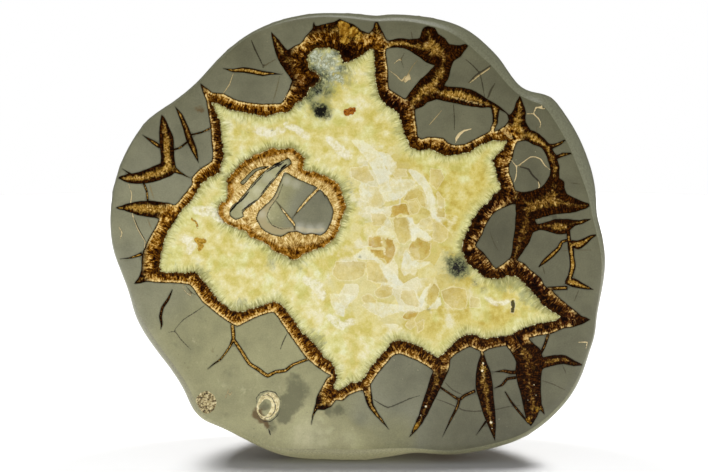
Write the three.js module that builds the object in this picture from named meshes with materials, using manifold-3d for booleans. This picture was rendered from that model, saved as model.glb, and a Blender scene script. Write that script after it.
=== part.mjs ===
// A septarian nodule sawn through and polished: one solid stone, in millimetres, +Z up.
// The polished face looks along -Y and leans back. A rounded shoulder joins it to the lobed flank,
// the back is a low lumpy dome, and a small flat ground under the stone lets it stand.
// The origin is on that flat, under the middle of the stone's bounding box.
import * as THREE from "three";
import { mergeVertices } from "three/addons/utils/BufferGeometryUtils.js";
import Module from "manifold-3d";

// Driving dimensions.
const width = 166.2; // across the widest part of the flank
const depth = 56; // from the polished face to the crown of the back
const crownUp = 58; // height of the crown of the back above the lowest point of the flank
const leanBack = 3; // degrees the polished face leans back from upright
const baseGround = 1.3; // height of stone ground away under the lowest point of the flank
const shoulderStart = 24; // degrees the shoulder already turns where it leaves the flat face
const shoulderLeastDepth = 2.2; // depth of the shoulder where it has no width
const shoulderDepthPerWidth = 1.5; // further depth for each millimetre of shoulder width
const flankFullness = 0.74; // below 1 the flank runs straighter back before it turns in
const backFullness = 0.62; // below 1 the crown is broader and flatter
const underFullness = 0.12; // the same under the stone, where it runs back almost level
const lobeFade = 0.8; // share of the outline's lobes that has faded out at the crown
const lumpHeight = 1.5; // height of the broad swellings on the back

// Mesh density.
const around = 132;
const shoulderRings = 4;
const flankRings = 13;

// The flank's outline seen square to the face: right, up and shoulder width, clockwise from the top.
const outline = [
  [-9.5, 148.7, 1.4],
  [-2.2, 148.5, 1.8],
  [3.2, 148.0, 2.0],
  [5.9, 147.6, 2.0],
  [8.6, 148.1, 2.2],
  [14.5, 148.3, 2.4],
  [22.2, 147.5, 2.8],
  [29.2, 146.2, 3.4],
  [35.2, 144.0, 4.2],
  [39.8, 141.0, 4.6],
  [43.8, 137.3, 4.6],
  [46.8, 134.3, 4.2],
  [49.8, 129.7, 3.6],
  [53.2, 125.0, 3.0],
  [55.8, 123.0, 3.0],
  [61.2, 122.3, 3.8],
  [64.8, 120.7, 4.6],
  [69.2, 115.3, 5.0],
  [73.2, 109.0, 5.2],
  [76.5, 101.7, 5.2],
  [78.8, 94.0, 4.6],
  [79.5, 87.3, 3.2],
  [79.5, 82.0, 2.2],
  [81.2, 75.7, 2.2],
  [82.5, 68.0, 2.0],
  [82.2, 61.7, 1.6],
  [80.8, 54.0, 1.2],
  [79.5, 47.3, 1.0],
  [79.2, 42.0, 1.0],
  [77.2, 35.7, 1.2],
  [75.2, 28.8, 1.6],
  [71.8, 21.8, 1.8],
  [66.8, 15.6, 1.9],
  [60.6, 10.1, 2.0],
  [54.2, 6.2, 2.1],
  [47.4, 3.8, 2.4],
  [38.8, 1.8, 2.4],
  [30.5, 1.0, 2.2],
  [23.8, 1.4, 2.2],
  [18.5, 1.7, 2.4],
  [13.2, 0.3, 3.9],
  [5.5, -1.1, 4.9],
  [-2.8, -2.1, 5.7],
  [-14.5, -1.3, 5.3],
  [-22.8, -0.4, 4.4],
  [-30.2, 2.3, 2.6],
  [-37.8, 6.2, 1.9],
  [-46.2, 10.4, 2.0],
  [-52.4, 12.9, 2.2],
  [-55.9, 16.6, 2.7],
  [-58.5, 22.7, 2.8],
  [-62.8, 29.7, 2.6],
  [-67.8, 36.3, 2.6],
  [-72.2, 42.7, 2.8],
  [-74.8, 48.3, 2.4],
  [-76.5, 55.7, 1.4],
  [-79.2, 63.3, 1.0],
  [-81.5, 69.7, 0.9],
  [-82.5, 77.3, 0.8],
  [-82.2, 85.0, 0.8],
  [-80.8, 92.7, 0.8],
  [-78.2, 100.3, 0.8],
  [-74.2, 107.7, 0.8],
  [-69.2, 114.0, 0.8],
  [-62.2, 118.7, 0.8],
  [-56.2, 123.3, 0.8],
  [-52.2, 127.0, 0.8],
  [-47.8, 132.0, 0.9],
  [-42.2, 137.3, 1.0],
  [-36.2, 141.8, 1.0],
  [-28.8, 145.3, 1.1],
  [-21.2, 147.5, 1.2],
  [-15.5, 148.4, 1.3],
];

const radians = THREE.MathUtils.degToRad;

// The outline as evenly spaced points {at, inward, shoulder}, scaled to the stone's width.
function flankOutline() {
  const rights = outline.map(([right]) => right);
  const scale = width / (Math.max(...rights) - Math.min(...rights));
  const drawn = outline.map(([right, up, shoulder]) => new THREE.Vector3(right * scale, up * scale, shoulder));
  const curve = new THREE.CatmullRomCurve3(drawn, true, "centripetal");
  const spaced = curve.getSpacedPoints(around).slice(0, around);
  return spaced.map((point, i) => {
    const before = spaced[(i + around - 1) % around];
    const after = spaced[(i + 1) % around];
    const along = new THREE.Vector2(after.x - before.x, after.y - before.y).normalize();
    return {
      at: new THREE.Vector2(point.x, point.y),
      inward: new THREE.Vector2(along.y, -along.x),
      shoulder: point.z,
    };
  });
}

// Broad swellings of the back, as a share of lumpHeight: a few slow waves across the stone.
function lumpiness(right, up) {
  return (
    0.5 * Math.sin(right / 13 + up / 31) * Math.cos(up / 15 - 0.6) +
    0.3 * Math.sin(right / 8.5 - up / 19 + 1.1) +
    0.2 * Math.cos(up / 7.5 + right / 23)
  );
}

// One ring of the shoulder: turn runs from shoulderStart at the flat face to 90 degrees at the flank.
function shoulderRing(points, turn) {
  const start = radians(shoulderStart);
  const inset = (1 - Math.sin(turn)) / (1 - Math.sin(start));
  const reach = (Math.cos(start) - Math.cos(turn)) / Math.cos(start);
  return points.map(({ at, inward, shoulder }) => {
    const edge = at.clone().addScaledVector(inward, shoulder * inset);
    return new THREE.Vector3(edge.x, shoulderDepth(shoulder) * reach, edge.y);
  });
}

function shoulderDepth(shoulder) {
  return shoulderLeastDepth + shoulderDepthPerWidth * shoulder;
}

// One ring of the flank and back: turn runs from 0 at the shoulder to 90 degrees at the crown.
function flankRing(points, box, crown, turn) {
  const reach = Math.sin(turn) ** (1 / flankFullness);
  return points.map(({ at, shoulder }) => {
    const rounded = at.clone().lerp(ovalPoint(at, box), lobeFade * Math.sin(turn));
    const under = Math.max(0, -rounded.clone().sub(crown).normalize().y) ** 2;
    const fullness = THREE.MathUtils.lerp(backFullness, underFullness, under);
    const spot = crown.clone().lerp(rounded, Math.cos(turn) ** fullness);
    const start = shoulderDepth(shoulder);
    const lump = lumpHeight * lumpiness(spot.x, spot.y) * Math.sin(turn);
    return new THREE.Vector3(spot.x, start + (depth - start) * reach + lump, spot.y);
  });
}

// The point of the oval that fills the box, in the direction in which a point lies from its middle.
function ovalPoint(at, box) {
  const middle = box.getCenter(new THREE.Vector2());
  const half = box.getSize(new THREE.Vector2()).multiplyScalar(0.5);
  const offset = at.clone().sub(middle);
  const stretch = offset.clone().divide(half).length();
  return middle.addScaledVector(offset, 1 / stretch);
}

// The whole stone before its base is ground, its face in the plane y = 0.
function uncutStone() {
  const points = flankOutline();
  const box = new THREE.Box2().setFromPoints(points.map(({ at }) => at));
  const crownAt = new THREE.Vector2(box.getCenter(new THREE.Vector2()).x, box.min.y + crownUp);
  const rings = [];
  for (let k = 0; k <= shoulderRings; k++) {
    rings.push(shoulderRing(points, radians(THREE.MathUtils.lerp(shoulderStart, 90, k / shoulderRings))));
  }
  for (let k = 1; k < flankRings; k++) {
    rings.push(flankRing(points, box, crownAt, radians((90 * k) / flankRings)));
  }
  const crownDepth = depth + lumpHeight * lumpiness(crownAt.x, crownAt.y);
  const vertices = [...rings.flat(), new THREE.Vector3(crownAt.x, crownDepth, crownAt.y)];

  const face = rings[0].map(({ x, z }) => new THREE.Vector2(x, z));
  const triangles = THREE.ShapeUtils.triangulateShape(face, []).flat();
  for (let k = 0; k + 1 < rings.length; k++) {
    for (let i = 0; i < around; i++) {
      const a = k * around + i;
      const b = k * around + ((i + 1) % around);
      triangles.push(a, b, a + around, b, b + around, a + around);
    }
  }
  const crown = vertices.length - 1;
  const last = (rings.length - 1) * around;
  for (let i = 0; i < around; i++) {
    triangles.push(last + i, last + ((i + 1) % around), crown);
  }
  const stone = new THREE.BufferGeometry().setFromPoints(vertices);
  stone.setIndex(triangles);
  return stone;
}

const wasm = await Module();
wasm.setup();

function toSolid(geometry) {
  const bare = geometry.clone();
  bare.deleteAttribute("normal");
  bare.deleteAttribute("uv");
  const merged = mergeVertices(bare);
  const mesh = new wasm.Mesh({
    numProp: 3,
    vertProperties: merged.attributes.position.array,
    triVerts: new Uint32Array(merged.index.array),
  });
  return new wasm.Manifold(mesh);
}

function toGeometry(solid) {
  const { vertProperties, triVerts } = solid.getMesh();
  const geometry = new THREE.BufferGeometry();
  geometry.setAttribute("position", new THREE.BufferAttribute(vertProperties, 3));
  geometry.setIndex(new THREE.BufferAttribute(triVerts, 1));
  return geometry;
}

// Leans the stone back, grinds its base flat, and sets the flat on z = 0.
function standingStone() {
  const leaning = uncutStone().rotateX(radians(-leanBack));
  leaning.computeBoundingBox();
  const ground = leaning.boundingBox.min.z + baseGround;
  const block = new THREE.BoxGeometry(2 * width, 2 * width, width).translate(0, 0, ground - width / 2);
  const stone = toGeometry(toSolid(leaning).subtract(toSolid(block)));
  stone.computeBoundingBox();
  const middle = stone.boundingBox.getCenter(new THREE.Vector3());
  stone.translate(-middle.x, -middle.y, -ground);
  stone.computeVertexNormals();
  return stone;
}

const limestone = new THREE.MeshStandardMaterial({ color: "#77766a", roughness: 0.3, metalness: 0 });

const nodule = new THREE.Mesh(standingStone(), limestone);
nodule.name = "nodule";

const part = new THREE.Group();
part.add(nodule);

export default part;
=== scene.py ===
import math

import bmesh
import bpy
import numpy as np
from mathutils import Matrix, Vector, geometry, kdtree, noise


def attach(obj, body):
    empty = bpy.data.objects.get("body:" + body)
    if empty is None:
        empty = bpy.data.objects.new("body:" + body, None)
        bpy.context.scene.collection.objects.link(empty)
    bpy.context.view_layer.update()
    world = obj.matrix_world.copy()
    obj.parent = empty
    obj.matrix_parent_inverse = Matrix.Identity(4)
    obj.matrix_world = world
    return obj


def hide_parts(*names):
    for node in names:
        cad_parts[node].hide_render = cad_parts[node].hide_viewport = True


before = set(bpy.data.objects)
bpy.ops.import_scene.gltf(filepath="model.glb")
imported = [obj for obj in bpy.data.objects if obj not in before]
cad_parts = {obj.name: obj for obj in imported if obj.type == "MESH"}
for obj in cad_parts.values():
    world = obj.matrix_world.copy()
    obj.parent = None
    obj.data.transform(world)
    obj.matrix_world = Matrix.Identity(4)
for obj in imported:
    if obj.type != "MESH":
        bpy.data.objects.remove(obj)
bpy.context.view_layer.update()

print("scene: nodule loaded")

# The polished face is drawn in steps, right and down from the drawing's corner.
drawing = {
    "stepsPerMm": 3.0,
    "middle": (356.7, 235.3),  # step that lies on the middle of the flat face
    "straightness": 0.55,  # 0 rounds every corner of a drawn line, 1 leaves it sharp
    "lineSpacing": 0.56,  # mm between points along a drawn line
    # mm between the points that fill each zone
    "spacing": {"limestone": 1.1, "aragonite": 0.46, "calcite": 0.66, "shell": 0.6, "gap": 0.6},
    "jitter": 0.2,  # share of their spacing by which filling points stray
    "lineMargin": 0.42,  # share of their spacing that they keep from the lines
    "widestMargin": 0.8,  # mm, the spacing above which that margin grows no more
    "edgeMargin": 0.3,  # mm that drawn lines keep from the edge of the face
    "edgeSpacing": 0.1,  # mm between samples of that edge, where lines are kept inside it
    "wearSpacing": 0.2,  # the same where the edge is worn
    "strokeSpacing": 0.3,  # mm between samples of a soft stroke
    "zoneSamples": 7,  # samples on each mesh edge where two zones meet
    "sideSamples": 12,  # samples on each side of a blocky crystal
    "blendSoftness": 3.0,  # mm around an anchor in which its own value barely changes
    "seed": 7,
}


# Helpers that the whole script uses.

def srgb(hexColour):
    # an sRGB hex colour as Blender's linear red, green, blue, alpha
    channels = [int(hexColour[i:i + 2], 16) / 255 for i in (1, 3, 5)]
    return tuple(c / 12.92 if c <= 0.04045 else ((c + 0.055) / 1.055) ** 2.4 for c in channels) + (1.0,)


def addNode(tree, kind, settings):
    # adds a node: a key is a property or an input's name or number, a node or socket as value is linked
    node = tree.nodes.new(kind)
    for key, value in settings.items():
        if key == "stops":
            ramp = node.color_ramp
            while len(ramp.elements) < len(value):
                ramp.elements.new(0.5)
            for element, (position, colour) in zip(ramp.elements, value):
                element.position = position
                element.color = srgb(colour)
        elif isinstance(key, str) and hasattr(node, key):
            setattr(node, key, value)
        else:
            if isinstance(key, int):
                socket = node.inputs[key]
            else:
                socket = next(s for s in node.inputs if s.enabled and s.name == key)
            if isinstance(value, bpy.types.Node):
                value = next(s for s in value.outputs if s.enabled)
            if isinstance(value, str) and value.startswith("#"):
                value = srgb(value)
            if isinstance(value, bpy.types.NodeSocket):
                tree.links.new(value, socket)
            else:
                socket.default_value = value
    return node


def calc(tree, operation, first, second):
    # one step of arithmetic on two values, sockets or nodes
    return addNode(tree, "ShaderNodeMath", {"operation": operation, 0: first, 1: second})


def times(tree, first, second):
    return calc(tree, "MULTIPLY", first, second)


def toMm(points):
    # drawn steps to millimetres right and up from the middle of the face; a third column is a width
    points = np.array(points, dtype=float)
    middleX, middleY = drawing["middle"]
    points[:, 0] = (points[:, 0] - middleX) / drawing["stepsPerMm"]
    points[:, 1] = (middleY - points[:, 1]) / drawing["stepsPerMm"]
    points[:, 2:] /= drawing["stepsPerMm"]
    return points


def curveThrough(points, closed, spacing):
    # a line through the points, partly a centripetal Catmull-Rom curve and partly straight
    if closed:
        padded = np.vstack([points[-1:], points, points[:2]])
    else:
        padded = np.vstack([2 * points[:1] - points[1:2], points, 2 * points[-1:] - points[-2:-1]])
    samples = []
    for i in range(len(padded) - 3):
        p0, p1, p2, p3 = padded[i:i + 4]
        t1 = math.hypot(*(p1 - p0)[:2]) ** 0.5 or 1e-6
        t2 = t1 + (math.hypot(*(p2 - p1)[:2]) ** 0.5 or 1e-6)
        t3 = t2 + (math.hypot(*(p3 - p2)[:2]) ** 0.5 or 1e-6)
        count = max(1, round(math.hypot(*(p2 - p1)[:2]) / spacing))
        for k in range(count):
            t = t1 + (t2 - t1) * k / count
            a1 = (t1 - t) / t1 * p0 + t / t1 * p1
            a2 = (t2 - t) / (t2 - t1) * p1 + (t - t1) / (t2 - t1) * p2
            a3 = (t3 - t) / (t3 - t2) * p2 + (t - t2) / (t3 - t2) * p3
            b1 = (t2 - t) / t2 * a1 + t / t2 * a2
            b2 = (t3 - t) / (t3 - t1) * a2 + (t - t1) / (t3 - t1) * a3
            curved = (t2 - t) / (t2 - t1) * b1 + (t - t1) / (t2 - t1) * b2
            straight = p1 + (p2 - p1) * k / count
            samples.append(curved + (straight - curved) * drawing["straightness"])
    if not closed:
        samples.append(points[-1])
    return np.array(samples)


def roughen(line, amount, size):
    # pushes a line's points to and fro by a smooth noise, as a grown edge wanders
    wandered = line.copy()
    for i, point in enumerate(line):
        at = Vector((point[0] / size, point[1] / size, drawing["seed"]))
        wandered[i, 0] += amount * noise.noise(at)
        wandered[i, 1] += amount * noise.noise(at + Vector((31.7, 11.3, 5.1)))
    return wandered


def ribbon(line):
    # the closed outline of a line of [x, y, width]
    along = np.gradient(line[:, :2], axis=0)
    along /= np.maximum(np.linalg.norm(along, axis=1), 1e-9)[:, None]
    aside = np.stack([-along[:, 1], along[:, 0]], axis=1) * line[:, 2:3] / 2
    return np.vstack([line[:, :2] + aside, (line[:, :2] - aside)[::-1]])


def inside(points, outline):
    # which points lie inside a closed outline
    result = np.zeros(len(points), dtype=bool)
    low, high = outline.min(axis=0), outline.max(axis=0)
    near = np.nonzero(((points > low) & (points < high)).all(axis=1))[0]
    x, y = points[near, 0], points[near, 1]
    odd = np.zeros(len(near), dtype=bool)
    for (x0, y0), (x1, y1) in zip(outline, np.roll(outline, -1, axis=0)):
        if y0 != y1:
            crosses = (y0 > y) != (y1 > y)
            odd ^= crosses & (x < x0 + (y - y0) * (x1 - x0) / (y1 - y0))
    result[near[odd]] = True
    return result


def nearest(points, samples):
    # for each point the nearest sample's number and distance
    tree = kdtree.KDTree(len(samples))
    for i, sample in enumerate(samples):
        tree.insert((sample[0], sample[1], 0.0), i)
    tree.balance()
    found = [tree.find((x, y, 0.0))[1:] for x, y in points]
    return np.array([f[0] for f in found]), np.array([f[1] for f in found])


def blendOf(points, anchors):
    # a smooth value over the face from anchors of [x, y, value], of which the nearest count most
    places = toMm([anchor[:2] for anchor in anchors])
    values = np.array([anchor[2] for anchor in anchors])
    apart = np.linalg.norm(points[:, None, :] - places[None], axis=2)
    weights = 1 / (apart + drawing["blendSoftness"]) ** 3
    return (weights * values).sum(axis=1) / weights.sum(axis=1)


def spots(points, places):
    # how strongly round soft spots of [x, y, radius, amount] cover each point: whole to half their radius,
    # gone at one and a half
    cover = np.zeros(len(points))
    for (x, y, radius), amount in zip(toMm([place[:3] for place in places]), [place[3] for place in places]):
        apart = np.hypot(points[:, 0] - x, points[:, 1] - y)
        cover = np.maximum(cover, amount * np.clip(1.5 - apart / radius, 0, 1))
    return cover


# What grew in the cracks, drawn in steps.

calcite = {
    "edgeWander": 0.35,  # mm to and fro
    "edgeWanderSize": 1.1,  # mm along the edge
    "outline": [
        (213, 103), (220, 105), (230, 110), (250, 114), (266, 117), (280, 113), (290, 112), (295, 105),
        (306, 97), (311, 88), (321, 80), (318, 74), (310, 70), (308, 57), (313, 51), (321, 49), (331, 49),
        (339, 53), (343, 64), (349, 63), (360, 57), (373, 49), (374, 60), (376, 86), (379, 97), (387, 106),
        (397, 113), (401, 122), (404, 133), (410, 147), (420, 151), (429, 149), (437, 153), (446, 156),
        (458, 155), (469, 152), (480, 145), (490, 142), (506, 141), (503, 149), (497, 154), (492, 160),
        (496, 173), (498, 182), (501, 189), (494, 194), (488, 202), (479, 209), (472, 220), (468, 230),
        (463, 240), (462, 250), (468, 264), (476, 270), (482, 276), (490, 279), (499, 279), (508, 276),
        (516, 277), (523, 282), (535, 295), (546, 308), (560, 317), (557, 320), (539, 324), (530, 326),
        (521, 330), (510, 336), (492, 338), (483, 339), (476, 335), (467, 335), (460, 338), (445, 353),
        (438, 358), (427, 352), (420, 347), (411, 343), (402, 341), (393, 342), (387, 349), (377, 361),
        (370, 369), (361, 382), (350, 384), (343, 389), (336, 392), (334, 386), (337, 379), (335, 370),
        (331, 363), (324, 358), (320, 351), (313, 343), (299, 329), (292, 318), (285, 310), (281, 304),
        (273, 302), (256, 308), (239, 312), (232, 311), (220, 302), (208, 287), (202, 280), (198, 274),
        (194, 272), (185, 273), (160, 271), (160, 264), (161, 256), (163, 247), (168, 232), (176, 220),
        (182, 210), (190, 203), (197, 192), (202, 184), (211, 177), (219, 173), (221, 166), (224, 159),
        (223, 147), (222, 133), (220, 121), (216, 111),
    ],
}

aragonite = {
    "edgeWander": 0.16,
    "edgeWanderSize": 1.6,
    "middleReach": 0.9,  # mm further than its wall within which a crack's middle is looked for
    "thinnestHalf": 0.3,  # mm, half the width of a crack too thin to have a middle of its own
    "outline": [
        (201, 84), (208, 89), (214, 93), (225, 94), (234, 99), (244, 102), (260, 104), (273, 104),
        (282, 103), (289, 90), (292, 81), (284, 69), (279, 61), (275, 50), (272, 33), (277, 38), (282, 44),
        (288, 51), (294, 47), (301, 44), (306, 37), (313, 29), (314, 23), (316, 27), (325, 25), (334, 23),
        (340, 20), (346, 23), (353, 25), (361, 31), (369, 34), (373, 29), (376, 21), (380, 28), (383, 34),
        (387, 41), (400, 39), (409, 40), (419, 39), (421, 33), (423, 29), (429, 26), (433, 23), (434, 28),
        (438, 35), (444, 39), (449, 45), (459, 46), (469, 44), (465, 50), (460, 57), (453, 62), (450, 70),
        (448, 79), (444, 86), (462, 88), (471, 90), (480, 95), (498, 106), (509, 115), (513, 110),
        (516, 101), (519, 96), (522, 103), (525, 112), (525, 122), (530, 130), (537, 133), (543, 138),
        (549, 144), (557, 143), (567, 138), (560, 145), (552, 149), (556, 155), (562, 153), (573, 153),
        (565, 156), (557, 159), (559, 167), (559, 178), (564, 182), (564, 187), (567, 194), (579, 200),
        (592, 205), (582, 210), (571, 213), (557, 214), (544, 217), (535, 220), (537, 224), (546, 222),
        (555, 219), (566, 219), (577, 220), (591, 219), (584, 223), (575, 226), (566, 234), (557, 234),
        (546, 231), (539, 230), (533, 233), (530, 241), (523, 252), (518, 260), (525, 264), (532, 271),
        (541, 278), (545, 286), (553, 291), (562, 300), (571, 307), (582, 316), (591, 320), (582, 325),
        (573, 328), (564, 329), (553, 334), (530, 339), (534, 344), (541, 350), (544, 358), (553, 356),
        (566, 356), (575, 361), (584, 366), (575, 367), (564, 365), (553, 367), (544, 370), (542, 378),
        (542, 392), (543, 405), (546, 416), (541, 412), (538, 419), (532, 428), (527, 420), (523, 401),
        (518, 383), (516, 372), (517, 363), (507, 347), (490, 350), (484, 353), (470, 348), (458, 354),
        (451, 360), (450, 369), (444, 383), (434, 403), (429, 414), (422, 426), (410, 439), (419, 417),
        (422, 406), (427, 392), (430, 381), (433, 372), (422, 364), (413, 360), (400, 355), (393, 357),
        (387, 364), (375, 379), (371, 386), (372, 396), (374, 407), (380, 417), (389, 431), (371, 412),
        (366, 403), (363, 392), (350, 396), (343, 402), (336, 402), (331, 408), (324, 411.5), (317, 411),
        (313.5, 417), (311, 426), (312, 417), (314.5, 408), (317, 397), (322, 388), (327, 379), (330, 377),
        (322, 372), (306, 359), (298, 348), (284, 328), (273, 313), (256, 318), (237, 327), (230, 324),
        (211, 310), (202, 302), (190, 286), (183, 284), (159, 283), (148, 282), (134, 284), (138, 278),
        (141, 270), (142, 254), (148, 240), (155, 228), (159, 219), (148, 217), (138, 215), (126, 211),
        (116, 208), (126, 204), (140, 201), (155, 201), (169, 203), (175, 205), (187, 191), (192, 184),
        (192, 178), (200, 169), (212, 161), (213, 152), (212, 142), (211, 128), (209, 114), (207, 102),
    ],
    # pieces of limestone that the lining grew around
    "cells": [
        [(386, 50), (397, 48), (406, 50), (413, 54), (419, 58), (427, 64), (434, 66), (418, 82), (410, 92),
         (405, 99), (396, 94), (389, 89), (388, 72)],
        [(415, 110), (422, 107), (427, 103), (436, 100), (451, 103), (465, 106), (480, 108), (490, 108),
         (492, 115), (492, 122), (489, 131), (480, 136), (471, 141), (465, 144), (456, 145), (448, 143),
         (443, 138), (429, 137), (421, 139), (418, 137), (417, 129)],
        [(499, 110), (507, 115), (508, 120), (505, 125), (498, 130), (494, 131), (497, 124)],
        [(517, 142), (525, 141), (534, 145), (541, 148), (545, 154), (548, 162), (550, 171), (547, 180),
         (541, 187), (530, 191), (521, 192), (515, 190), (513, 183), (509, 173), (509, 165), (512, 158),
         (514, 149)],
        [(494, 213), (505, 207), (515, 204), (515, 227), (513, 240), (512, 252), (510, 258), (496, 268),
         (490, 261), (483, 252), (476, 246), (482, 235), (487, 223)],
    ],
    # side cracks, as outlines
    "sideCracks": [
        [(162, 115), (161, 122), (160, 132), (160, 142), (161, 152), (161, 163), (152, 167), (143, 171),
         (135, 173), (129, 173.5), (123, 175.5), (117.5, 177.5), (124, 181), (130, 183), (138, 184),
         (150, 183), (161, 180), (171, 176), (175, 173), (183, 175), (191, 178), (183, 173), (177, 168),
         (175, 159), (174, 138), (170, 128), (166, 119)],
    ],
    # side cracks, as lines of [x, y, width]
    "sideLines": [
        [(123, 169, 0), (127, 171.5, 1.2), (131, 174, 2)],
        [(143, 135, 0), (155, 143, 4), (161, 147, 4)],
        [(176, 107, 0), (181, 115, 4), (186, 127, 5.5), (190, 139, 7), (195, 151, 5.5), (199, 163, 0)],
        [(120, 259, 0), (130, 258, 1.5), (142, 254, 4)],
        [(224, 69, 0), (233, 71, 3), (244, 70.5, 5.5), (254, 72, 5.5), (263, 74, 5), (272, 74, 2.5),
         (282, 75, 0)],
        [(482, 349, 3), (483, 356, 4), (483, 365, 10), (484, 374, 15), (485, 388, 17.5), (487, 399, 15),
         (490, 414, 12.5), (493, 427, 8), (496, 443, 0)],
        [(172, 290, 0.5), (168, 299, 2.6), (162, 308, 2.8), (160, 317, 3.0), (161, 325, 2.0),
         (160, 330, 0)],
        [(232, 325, 4), (233, 339, 4), (229, 348, 2.3), (220, 360, 1.8), (213, 365, 1.2), (207, 370, 0)],
        [(233, 340, 3.8), (241, 352, 3.8), (249, 364.5, 3.8), (258, 370.5, 4), (267, 376.8, 4),
         (275, 373, 3.5), (285, 371.5, 3.5), (293, 365.5, 3), (308, 360, 3)],
        [(568, 230, 4), (569, 239, 4), (571, 248, 6), (572, 257, 5), (573, 266, 6), (571, 275, 5),
         (568, 283, 6)],
        [(571, 243, 6), (578, 245, 9), (584, 242, 7), (591, 237, 4), (599, 234, 0)],
        [(568, 240, 3), (562, 242, 3.2), (559, 248, 4), (552, 255, 5), (544, 262, 4), (539, 267, 1)],
        [(566, 281, 6), (574, 283, 9), (582, 286, 6), (588, 288, 3.5), (594, 290, 0)],
        [(568, 288, 4), (548, 289, 4)],
        [(549, 335, 3), (545, 347, 3), (541, 355, 3)],
        [(494, 373, 0), (505, 372, 3), (512, 373.5, 4), (519, 373, 4)],
        [(494, 390, 0), (503, 386, 2.5), (508, 380, 3), (517, 378.5, 3)],
        [(506, 393, 1), (512, 403, 2), (519, 412, 2.5), (530, 425, 2)],
        [(440, 388, 2.2), (451, 395.5, 2.2), (460, 401, 3.2), (465, 397, 3.2), (476, 392, 3.2)],
        [(460, 401, 3), (458, 408, 3), (451, 422, 2), (443, 439, 0)],
        [(487, 423, 2.5), (477, 437, 0)],
        [(191, 135, 1.6), (202, 132.5, 1.6), (212, 128, 2)],
        [(173, 150, 1.8), (180, 148, 1.8), (188, 142, 2)],
        [(144, 183, 2), (147, 191, 2), (148, 201, 2)],
    ],
    # [x, y, how golden]: the lining is pale and golden on the left, nearly black on the right
    "golden": [
        (215, 130, 0.3), (219, 150, 0.34), (245, 107, 0.66), (280, 108, 0.74), (200, 185, 0.85),
        (145, 208, 0.66), (155, 250, 0.62), (170, 277, 0.6), (215, 305, 0.72), (260, 311, 0.7),
        (300, 345, 0.66), (328, 398, 0.56), (350, 389, 0.5), (375, 370, 0.5), (380, 412, 0.55),
        (410, 349, 0.46), (425, 400, 0.2), (460, 345, 0.34), (484, 375, 0.34), (487, 395, 0.28),
        (490, 430, 0.3), (505, 343, 0.3), (530, 370, 0.16), (533, 410, 0.26), (560, 361, 0.3),
        (545, 330, 0.3), (575, 320, 0.14), (535, 285, 0.16), (500, 272, 0.3), (470, 255, 0.28),
        (478, 225, 0.3), (495, 200, 0.22), (525, 230, 0.24), (550, 205, 0.36), (500, 175, 0.3),
        (555, 185, 0.3), (520, 130, 0.66), (480, 142, 0.4), (440, 145, 0.46), (410, 130, 0.42),
        (395, 105, 0.12), (382, 70, 0.34), (375, 38, 0.55), (400, 44, 0.5), (430, 45, 0.42),
        (455, 52, 0.14), (438, 75, 0.36), (420, 92, 0.5), (450, 95, 0.56), (500, 115, 0.4), (352, 36, 0.6),
        (344, 30, 0.8), (320, 38, 0.5), (295, 60, 0.42), (300, 88, 0.24), (345, 52, 0.1), (160, 135, 0.4),
        (168, 165, 0.6), (140, 177, 0.5), (188, 135, 0.28), (245, 72, 0.55), (280, 200, 1.0),
        (230, 200, 1.0), (330, 200, 0.85), (290, 252, 0.55), (275, 244, 0.7), (570, 260, 0.62),
        (580, 287, 0.7), (245, 360, 0.72), (164, 308, 0.05),
    ],
}

# one piece of limestone that the calcite holds, in its own lining
island = {
    "edgeWander": 0.4,
    "edgeWanderSize": 1.1,
    "ring": [
        (227, 180), (233, 172), (239, 166), (249, 158), (260, 153), (271, 149), (280, 149), (289, 148),
        (296, 150), (299, 154), (305, 158), (303, 169), (317, 173), (334, 180), (340, 187), (343, 197),
        (346, 206), (344, 213), (338, 231), (333, 240), (325, 246), (317, 249), (304, 254), (299, 259),
        (292, 260), (284, 255), (275, 252), (269, 246), (261, 241), (252, 238), (248, 233), (239, 229),
        (228, 225), (221, 219), (218, 211), (221, 204), (227, 199), (228, 190),
    ],
    "pieces": [
        [(289, 159), (291, 163), (286, 167), (281, 171), (277, 176), (271, 183), (265, 191), (257, 200),
         (249, 206), (242, 212), (243, 216), (236, 219), (231, 216), (230, 211), (233, 206), (241, 199),
         (248, 191), (254, 183), (260, 177), (266, 171), (272, 167), (277, 164), (283, 161)],
        [(285, 173), (297, 179), (308, 184), (315, 187), (320, 190), (326, 196), (330, 203), (333, 212),
         (330, 223), (325, 232), (320, 235), (312, 233), (304, 234), (297, 231), (289, 232), (281, 236),
         (271, 234), (262, 228), (257, 219), (260, 211), (269, 203), (275, 196), (279, 187), (283, 178)],
        [(241, 183), (247, 177), (254, 170), (259, 168), (266, 167), (256, 171), (249, 178), (243, 184)],
    ],
    "cracks": [  # brown cracks in the big piece, [x, y, width]
        [(323, 185, 5), (317, 190, 3.4), (309, 198, 3.2), (301, 207, 2.4), (294, 216, 0.5)],
        [(276, 201, 0), (283, 210, 1.8), (290, 219, 2.8), (294, 224, 2.6), (295, 230, 0.5)],
        [(322, 187, 3), (324, 192, 2.6), (325, 197, 0.5)],
    ],
    "gaps": [  # black slots beside the slanted piece, [x, y, width]
        [(273, 165.5, 1), (277, 164, 2.6), (281, 162, 1)],
        [(263, 169, 0.6), (266, 167.5, 1.8), (269, 166, 0.6)],
        [(281, 168.5, 0.8), (284, 166.5, 2.2), (287, 164, 0.8)],
        [(230, 212, 1.4), (235, 206, 2), (240, 200, 0.6)],
    ],
}

hairShape = {
    "endWidth": 0.35,  # share of its width that a hairline crack has at its ends
    "widening": 3.0,  # how fast it widens from there
    "paleNarrowing": 0.3,  # share by which a cream one is narrower
    "spacing": 0.15,  # mm between the points at which it is measured
}

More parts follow.
